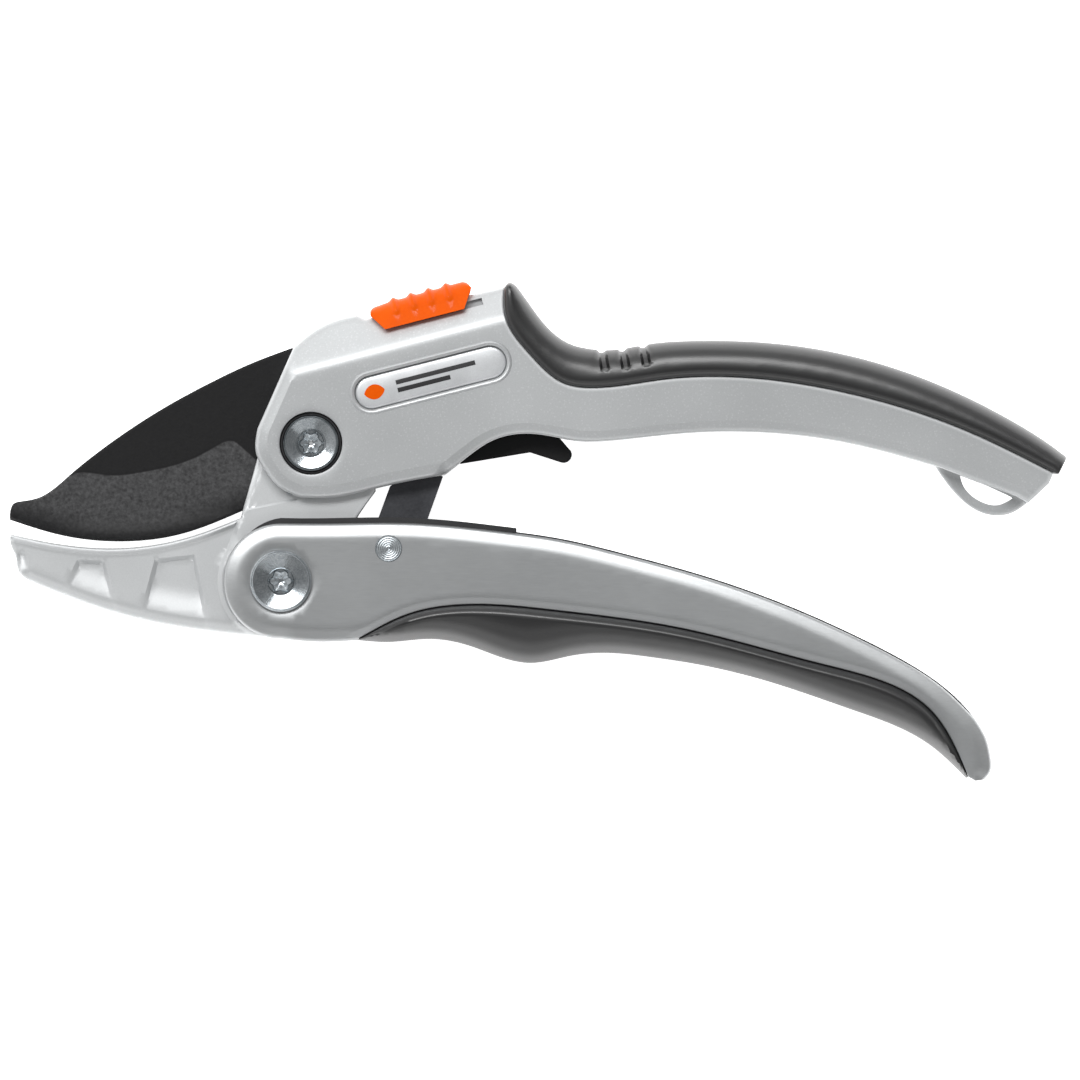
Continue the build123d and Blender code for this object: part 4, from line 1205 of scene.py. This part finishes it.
# ---------------------------------------------------------------- lower handle
@dataclass
class LowerHandle:
    """The folded shell with its raised rim, and the soft grip under it."""

    front_radius: float = 11.5
    rim_width: float = 3.1
    rim_crown: float = 0.7
    rim_fall: float = 0.55
    edge_drop: float = 1.0
    seam_width: float = 1.8
    channel_half: float = 6.8
    low_span: Point = (7.0, 12.0)
    low_under: float = -30.0
    rim_start: float = 0.2
    seam_fall: float = 0.45
    seam_round: Point = (0.3, 0.25)
    washer_radii: Point = (6.6, 6.9)
    washer_sink: float = 0.12
    pivot_hole: float = 4.05
    pin_hole: float = 2.7
    grip_share: float = 0.95
    grip_power: float = 2.0
    grip_edge: float = 2.0
    grip_thin: float = 0.75
    grip_thin_width: float = 1.5
    grip_tuck: Point = (0.5, 0.5)
    grip_round: Point = (0.3, 0.2)
    belly_points: tuple[Point, ...] = (
        (9.1, -39.3), (15.7, -39.7), (23.7, -39.1), (31.7, -40.5), (39.7, -43.3), (43.7, -43.9),
        (51.7, -42.5), (59.7, -41.9), (67.7, -42.7), (75.7, -43.9), (91.7, -47.7), (107.7, -53.1),
        (123.7, -60.3), (130.9, -66.9))

    def _top(self) -> Points:
        """The shell's rimmed edge: the seam side of the round front, the front, the top and the tail."""
        front = arc_points(LOWER_PIVOT, self.front_radius, 270, 90, 60)
        start = (LOWER_PIVOT[0], LOWER_PIVOT[1] + self.front_radius)
        top = curve_through([start] + SHELL_TOP)
        tail = curve_through([SHELL_TOP[-1], (134.6, -58.6), (135.6, -62.5), (135.5, -65.6), (134.3, -67.1)],
                             0.4)
        return np.concatenate([front, top[1:], tail[1:]])

    def outline(self) -> Points:
        """The shell's outline."""
        end = straight_through([(134.3, -67.1), (132.5, -67.3), (131.1, -66.5)], 0.4)
        seam = curve_through(SHELL_SEAM[::-1])
        low = curve_through([(9.1, -39.3), (2.0, -39.6), (-6.0, -39.0)])
        return closed_loop(self._top(), end, seam, low)

    def _half(self, points: Points, depth: Points) -> Points:
        """Half thickness: a flat face that slopes off over the rim to a rounded edge, and an eased seam.

        Over the rim's width the face falls by an S-curve, and its last part is a quarter ellipse.
        The face sinks a little under the pivot's washer.
        """
        rim = path_distance(points, self._top())
        seam = path_distance(points, curve_through(SHELL_SEAM))
        low = (1 - ease(points[:, 0], *self.low_span)) * (points[:, 1] < self.low_under)
        over, under = (self.rim_fall * (1 - ease(away, self.rim_start, self.rim_width))
                       + round_over(away, self.rim_crown, self.edge_drop) for away in (rim, depth))
        half = BODY_HALF - np.maximum(over, under * low)
        half -= self.seam_fall * (1 - ease(seam, 0.0, self.seam_width)) + round_over(seam, *self.seam_round)
        pivot = np.hypot(*(points - np.asarray(LOWER_PIVOT)).T)
        return half - self.washer_sink * (1 - ease(pivot, *self.washer_radii))

    def shell(self) -> bpy.types.Object:
        """The folded shell, open along its top and round its front."""
        circles = [arc_points(LOWER_PIVOT, radius, 0, 360, 72) for radius in self.washer_radii]
        piece = Relief(self.outline(), self._half, rows=(0.1, 0.25, 0.5, 0.8, 1.3, 1.7, 2.1, 2.5, 3.0),
                       creases=circles, spacing=1.3).build("folded_shell")
        floor = curve_through([(x, y + 1.8) for x, y in SHELL_SEAM[1:-1]])
        channel = np.concatenate([np.array([(-30, -10), (-30, -50), (8, -50), (8, -31.5)]), floor,
                                  np.array([(128.6, -59.0), (131.8, -61.9), (131.4, -55.5), (132.4, -20.0)])])
        hole = arc_points(LOWER_PIVOT, self.pivot_hole, 0, 350, 36)
        pin = arc_points(STRUT_PIVOT, self.pin_hole, 0, 350, 36)
        combine(piece, [prism("channel", channel, self.channel_half), prism("pivot_hole", hole, THROUGH),
                        prism("pin_hole", pin, THROUGH)], Join.CUT)
        top = self._top()
        # The rim attribute drives a painted highlight: the shell is paler over its rimmed top edge.
        set_attribute(piece, "rim", lambda points: path_distance(points, top))
        return give(piece, Body.LOWER_HANDLE, SATIN_ALUMINIUM, "lower_handle_shell")

    def _grip_half(self, points: Points, depth: Points) -> Points:
        """Half thickness of the grip: round from its belly, thinner at its ends, tucked in at the seam."""
        seam = path_distance(points, curve_through(SHELL_SEAM))
        belly = path_distance(points, curve_through(self.belly_points))
        full = bulge(belly, seam, self.grip_share, self.grip_power)
        thin = np.clip(depth / self.grip_thin_width, 0.0, 1.0)
        swell = full * (self.grip_thin + (1 - self.grip_thin) * thin)
        half = self.grip_edge + (GRIP_HALF - self.grip_edge) * swell
        return half - round_over(seam, *self.grip_tuck) - round_over(depth, *self.grip_round)

    def grip(self) -> bpy.types.Object:
        """The soft grip under the shell."""
        outline = closed_loop(curve_through(SHELL_SEAM), curve_through(self.belly_points[::-1]))
        piece = Relief(outline, self._grip_half, rows=(0.08, 0.2, 0.35, 0.6, 0.9, 1.3, 1.8, 2.5),
                       spacing=1.0).build("lower_grip_soft", 40.0)
        return give(piece, Body.LOWER_HANDLE, SOFT_GRIP, "lower_grip")

    def build(self) -> None:
        """Build the shell and the grip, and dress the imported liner."""
        self.shell()
        self.grip()
        dress_nodes(BLACK_PLASTIC, "channel_liner")


# ---------------------------------------------------------------- lock slide
@dataclass
class LockSlide:
    """The orange thumb button, a ribbed saddle over the housing's ridge, and its tongue."""

    start: float = 0.95
    end: float = 21.8
    height: float = 5.4
    skirt: float = 8.2
    top_half: float = 5.6
    gap: float = 0.3
    rib_first: float = 6.1
    rib_pitch: float = 3.63
    rib_rise: float = 0.62
    rib_power: int = 5
    rib_phases: Point = (-0.5, 3.5)
    rib_foot: Point = (0.34, 0.6)
    rib_side: float = 0.2
    crown_power: int = 4
    corner_power: float = 5.0
    wall: float = 0.9
    thinnest: float = 0.02
    rows: int = 190
    ring: int = 46

    def _top(self, along: Points) -> Points:
        """Height of the button's back along the slide, its ends rounded down."""
        return np.interp(along, [self.start, 1.05, 1.5, 2.2, 5.0, 19.0, 20.3, 21.0, 21.5, self.end],
                         [3.7, 4.25, 4.75, 4.95, 5.2, 5.45, 5.45, 5.2, 4.65, 3.95])

    def _bottom(self, along: Points) -> Points:
        """Height of the button's lower rim: up at the slanted front and at the undercut end."""
        return np.interp(along, [self.start, 3.1, 19.4, self.end], [3.3, 0.0, 0.0, 3.75])

    def build(self) -> bpy.types.Object:
        """Carry the saddle's section along the slide.

        The outside of a section is straight skirts and a back joined by a rounded shoulder; with t
        from 0 to 1 over the section, the shoulder is the corner's superellipse. The ribs add a
        power of a cosine to it over the upper part. The inside follows the ridge.
        """
        along = np.linspace(self.start, self.end, self.rows)[:, None]
        top, low = self._top(along), self._bottom(along)
        turn = np.linspace(0.0, math.pi / 2, self.ring // 2)[None, :]
        power = 2 / self.corner_power
        rise = np.sin(turn) ** power
        width = np.cos(turn) ** power
        height = low + (top - low) * rise
        lean = self.skirt + (self.top_half - self.skirt) * height / self.height
        phase = (along - self.rib_first) / self.rib_pitch
        ribbed = (phase > self.rib_phases[0]) & (phase < self.rib_phases[1])
        pulse = np.where(ribbed, np.abs(np.cos(math.pi * phase)) ** self.rib_power, 0.0)
        upper = ease(height, *(foot * self.height for foot in self.rib_foot))
        swell = self.rib_rise * pulse * upper
        across = lean * width + swell * (width > self.rib_side)
        height = height + swell * rise ** self.crown_power
        outer_y = np.concatenate([-across, across[:, -2::-1]], axis=1)
        outer_h = np.concatenate([height, height[:, -2::-1]], axis=1)
        roof = np.maximum(np.minimum(SLANT_TOP + self.gap, top - self.wall), low + self.thinnest)
        inner_h = np.concatenate([low, roof, roof, low], axis=1)
        inner_y = np.array([1.0, 1.0, -1.0, -1.0]) * (slanted_half(inner_h) + self.gap)
        side = np.concatenate([outer_y, inner_y], axis=1)
        level = np.concatenate([outer_h, inner_h], axis=1)
        run = np.broadcast_to(along, side.shape)
        x = LOCK_ORIGIN[0] + run * math.cos(LOCK_TURN) - level * math.sin(LOCK_TURN)
        y = LOCK_ORIGIN[1] + run * math.sin(LOCK_TURN) + level * math.cos(LOCK_TURN)
        count = side.shape[1]
        vertices = np.stack([x, y, MID_HEIGHT + side], axis=-1).reshape(-1, 3)
        faces = grid_faces(self.rows, count, wrap=True)
        ring = np.arange(count)
        faces += [ring[::-1].tolist(), (ring + (self.rows - 1) * count).tolist()]
        piece = make_object("thumb_button", vertices, faces, 38.0)
        give(piece, Body.LOCK, ORANGE_PLASTIC, "lock_button")
        dress_nodes(SPRING_STEEL, "lock_tongue")
        return piece


# ---------------------------------------------------------------- pivots
@dataclass
class PivotSet:
    """One pivot: a dished screw head with a six-lobe recess, and the sleeve nut from the far side."""

    name: str
    place: Point
    head_radius: float
    head_base: float
    head_top: float
    bevel: float
    nodes: tuple[str, str]
    drive: float = 2.2
    lobe: float = 0.15
    drive_depth: float = 1.3
    drive_sides: int = 144
    drive_floor: tuple[Point, ...] = ((0.0, -1.1), (0.45, -0.55), (0.86, 0.0))
    drive_wall: tuple[Point, ...] = ((0.93, -0.5), (1.0, -0.3), (1.1, 0.5), (0.0, 0.5))
    lobe_power: float = 1.5
    pit: float = 0.35
    pit_radius: float = 1.2
    drive_lip: Point = (0.3, 0.5)
    rim_round: float = 0.15
    nut_dimple: tuple[Point, ...] = ((0.6, 0.5), (0.9, 0.15), (1.3, 0.05))
    fit: float = 0.02
    dish: float = 0.85
    screw_radius: float = 2.8
    sleeve_radius: float = 4.0

    def _screw_profile(self) -> list[Point]:
        """Radius and height from the recess's floor over the rim and the cone to the shank's end."""
        top = self.head_top
        pit = top - self.pit
        inner, outer = (self.drive + shift for shift in self.drive_lip)
        crown = soft_profile([(self.pit_radius, pit), (inner, pit), (outer, top - self.dish),
                              *self._rim(top, 1), (self.head_radius, self.head_base)], 0.1)
        return [(0.0, pit)] + crown + [(self.screw_radius, self.head_base), (self.screw_radius, -NECK_HALF),
                                       (0.0, -NECK_HALF)]

    def _rim(self, top: float, up: int) -> list[Point]:
        """The head's bevelled rim, from its flat outwards, for a head that faces up or down."""
        radius, foot = self.head_radius, top - up * self.bevel
        return [(radius - self.bevel, top), (radius - self.rim_round, foot),
                (radius, foot - up * self.rim_round)]

    def _drive_cutter(self) -> bpy.types.Object:
        """The recess as a solid: a six-lobed star with a coned floor and flared walls.

        Its radius is the profile's times 1 + lobe cos(6 angle), the lobes dying out towards the axis.
        """
        top, floor = self.head_top, self.head_top - self.drive_depth
        profile = [(self.drive * share, floor + rise) for share, rise in self.drive_floor]
        profile += [(self.drive * share, top + rise) for share, rise in self.drive_wall]
        angle = np.arange(self.drive_sides) * 2 * math.pi / self.drive_sides
        rings = []
        for radius, height in profile:
            swing = self.lobe * min(1.0, radius / self.drive) ** self.lobe_power
            away = radius * (1 + swing * np.cos(6 * angle))
            rings.append([self.place[0] + away * np.cos(angle), self.place[1] + away * np.sin(angle),
                          np.full(self.drive_sides, MID_HEIGHT + height)])
        rings = np.array(rings)
        return make_object(f"{self.name}_drive", rings.transpose(0, 2, 1).reshape(-1, 3),
                           grid_faces(len(profile), self.drive_sides, wrap=True), 30.0)

    def _nut_profile(self) -> list[Point]:
        """Radius and height of the headed sleeve: a closed ring section, its bore ending blind."""
        base, top = -self.head_base, -self.head_top
        dimple = [(radius, top + rise) for radius, rise in self.nut_dimple]
        head = soft_profile([*dimple, *self._rim(top, -1), (self.head_radius, base)], 0.15)
        bore, end = self.screw_radius + self.fit, self.head_base - self.fit / 2
        floor = -NECK_HALF - self.fit
        sleeve = [(self.sleeve_radius, base), (self.sleeve_radius, end), (bore, end), (bore, floor)]
        return [(0.0, dimple[0][1])] + head + sleeve + [(0.0, floor)]

    def build(self) -> None:
        """Build the screw and the nut."""
        screw = Turned(self.place, self._screw_profile(), sides=144).build(f"{self.name}_screw_head", 30.0)
        combine(screw, [self._drive_cutter()], Join.CUT, 30.0)
        give(screw, Body.ROOT, turned_zinc(self.name, self.place), self.nodes[0])
        nut = Turned(self.place, self._nut_profile(), sides=120).build(f"{self.name}_sleeve_nut", 30.0)
        give(nut, Body.ROOT, turned_zinc(self.name, self.place), self.nodes[1])


@dataclass
class SmallParts:
    """The seal ring round the upper screw, the turned strut pin, and the parts kept as packed."""

    pin_radius: float = 2.7
    pin_end: float = 8.8
    pin_lip: float = 0.25
    pin_sink: float = 0.12
    pin_bevel: float = 0.2
    centre_depth: float = 0.25
    centre_radius: float = 0.2
    turning_step: float = 0.06
    ring_pitch: float = 0.42
    ring_depth: float = 0.035
    seal: tuple[float, float, float, float] = (5.52, 6.18, 6.82, 7.7)

    def pin(self) -> bpy.types.Object:
        """The strut's pin: its ends are turned in rings, a cosine of the radius."""
        radius = np.arange(0.0, self.pin_radius - self.pin_lip, self.turning_step)
        face = self.pin_end - self.pin_sink + self.ring_depth * np.cos(2 * math.pi * radius / self.ring_pitch)
        face -= self.centre_depth * (radius < self.centre_radius)
        edge = [(self.pin_radius - self.pin_bevel, self.pin_end),
                (self.pin_radius, self.pin_end - self.pin_bevel)]
        near = np.column_stack([radius, face]).tolist() + edge
        far = [(r, -z) for r, z in reversed(near)]
        piece = Turned(STRUT_PIVOT, near + far, sides=96).build("turned_pin", 50.0)
        return give(piece, Body.LOWER_HANDLE, turned_zinc("pin", STRUT_PIVOT, 0.002, 0.34), "strut_pin")

    def seal_ring(self) -> bpy.types.Object:
        """The dark ring in the upper screw's recess: a round-topped section turned about the pivot."""
        inner, outer, low, high = self.seal
        middle, half = (inner + outer) / 2, (outer - inner) / 2
        turn = np.linspace(0.0, math.pi, 13)
        top = np.column_stack([middle - half * np.cos(turn), high - half + half * np.sin(turn)])
        profile = [(inner, low)] + top.tolist() + [(outer, low)]
        piece = Turned((0.0, 0.0), profile, sides=96).build("seal_ring", 50.0)
        return give(piece, Body.ROOT, BLACK_PLASTIC, "pivot_seal_ring")

    def build(self) -> None:
        """Build the turned small parts and dress the kept ones."""
        self.pin()
        self.seal_ring()
        dress_nodes(BLACK_STEEL, "strut")
        dress_nodes(SPRING_STEEL, "strut_spring", "opening_spring")
        dress_nodes(BRONZE, "blade_bush")


# ---------------------------------------------------------------- studio
@dataclass
class Studio:
    """A pale floor, a light tent that is dimmer overhead, three soft lights and the camera."""

    view_centre: Point = (0.3, -1.7)
    lens: float = 500.0
    sensor: float = 36.0
    view_width: float = 216.0
    floor_size: float = 3.0
    zenith: float = 0.32
    horizon: float = 0.9
    dimming: Point = (0.35, 0.85)
    side_swing: float = 0.35
    bright_side: tuple[float, float, float] = (-0.85, 0.5, 0.0)
    table_glow: float = 0.85
    far_clip: float = 20.0
    lights: tuple[tuple, ...] = (("key", (-0.22, 0.62, 0.95), 1.0, 0.3, 12.0),
                                 ("fill", (0.2, -0.72, 0.95), 1.0, 0.25, 1.1),
                                 ("belly", (0.0, -0.95, 0.3), 1.3, 0.3, 1.6))

    def _floor(self) -> None:
        """A square floor at the base."""
        half = self.floor_size / 2
        mesh = bpy.data.meshes.new("floor")
        corners = [(-half, -half, 0.0), (half, -half, 0.0), (half, half, 0.0), (-half, half, 0.0)]
        mesh.from_pydata(corners, [], [(0, 1, 2, 3)])
        floor = bpy.data.objects.new("floor", mesh)
        bpy.context.scene.collection.objects.link(floor)
        paper = bpy.data.materials.new("white_paper_sweep")
        paper.use_nodes = True
        settings = {"Base Color": linear("#FBFBFB"), "Roughness": 0.9, "Specular IOR Level": 0.1,
                    "Emission Color": (1.0, 1.0, 1.0, 1.0), "Emission Strength": self.table_glow}
        for setting, value in settings.items():
            paper.node_tree.nodes["Principled BSDF"].inputs[setting].default_value = value
        mesh.materials.append(paper)

    def _tent(self) -> None:
        """The world: bright all round, dimmer towards the zenith, a little brighter to one side."""
        world = bpy.data.worlds.new("light_tent")
        bpy.context.scene.world = world
        world.use_nodes = True
        tree = world.node_tree
        tree.nodes.clear()
        way = add_node(tree, "ShaderNodeTexCoord").outputs["Generated"]
        parts = add_node(tree, "ShaderNodeSeparateXYZ", {0: way})
        level = ranged(tree, parts.outputs["Z"], *self.dimming, self.horizon, self.zenith,
                       interpolation_type="SMOOTHSTEP")
        lean = add_node(tree, "ShaderNodeVectorMath", {0: way, 1: self.bright_side}, operation="DOT_PRODUCT")
        swing = add_node(tree, "ShaderNodeMath", {0: lean.outputs["Value"], 1: self.side_swing, 2: 1.0},
                         operation="MULTIPLY_ADD")
        strength = add_node(tree, "ShaderNodeMath", {0: level, 1: swing.outputs[0]}, operation="MULTIPLY")
        light = add_node(tree, "ShaderNodeBackground", {"Color": (1.0, 1.0, 1.0, 1.0),
                                                        "Strength": strength.outputs[0]})
        add_node(tree, "ShaderNodeOutputWorld", {"Surface": light.outputs[0]})

    @staticmethod
    def _soft_light(name: str, place: tuple[float, float, float], length: float, width: float,
                    power: float) -> None:
        """A strip light aimed at the object, its length along X."""
        lamp = bpy.data.lights.new(name, "AREA")
        lamp.shape = "RECTANGLE"
        lamp.size = length
        lamp.size_y = width
        lamp.energy = power
        light = bpy.data.objects.new(name, lamp)
        light.location = place
        light.rotation_euler = (-Vector(place)).to_track_quat("-Z", "Y").to_euler()
        bpy.context.scene.collection.objects.link(light)

    def _camera(self) -> None:
        """A long lens straight above the object's mid-height."""
        data = bpy.data.cameras.new("camera")
        data.lens = self.lens
        data.sensor_width = self.sensor
        data.clip_end = self.far_clip
        camera = bpy.data.objects.new("camera", data)
        distance = self.view_width * self.lens / self.sensor
        camera.location = (self.view_centre[0] * MM, self.view_centre[1] * MM, (MID_HEIGHT + distance) * MM)
        bpy.context.scene.collection.objects.link(camera)
        bpy.context.scene.camera = camera

    def build(self) -> None:
        """Set up the floor, the light and the camera."""
        self._floor()
        self._tent()
        for light in self.lights:
            self._soft_light(*light)
        self._camera()
        bpy.context.scene.view_settings.view_transform = "Standard"
        log.info("studio ready")


def main() -> None:
    """Build every sub-assembly in order, then the studio."""
    for part in (UpperHandle(), Anvil(), Blade(), LowerHandle(), LockSlide()):
        log.info("building %s", type(part).__name__)
        part.build()
    PivotSet("upper", (0.0, 0.0), 5.5, 6.8, 9.0, 0.5, ("pivot_screw", "pivot_nut")).build()
    PivotSet("lower", LOWER_PIVOT, 6.1, 8.7, 9.9, 0.5, ("lower_pivot_screw", "lower_pivot_nut"),
             drive_depth=1.1).build()
    SmallParts().build()
    Studio().build()


if __name__ == "__main__":
    main()
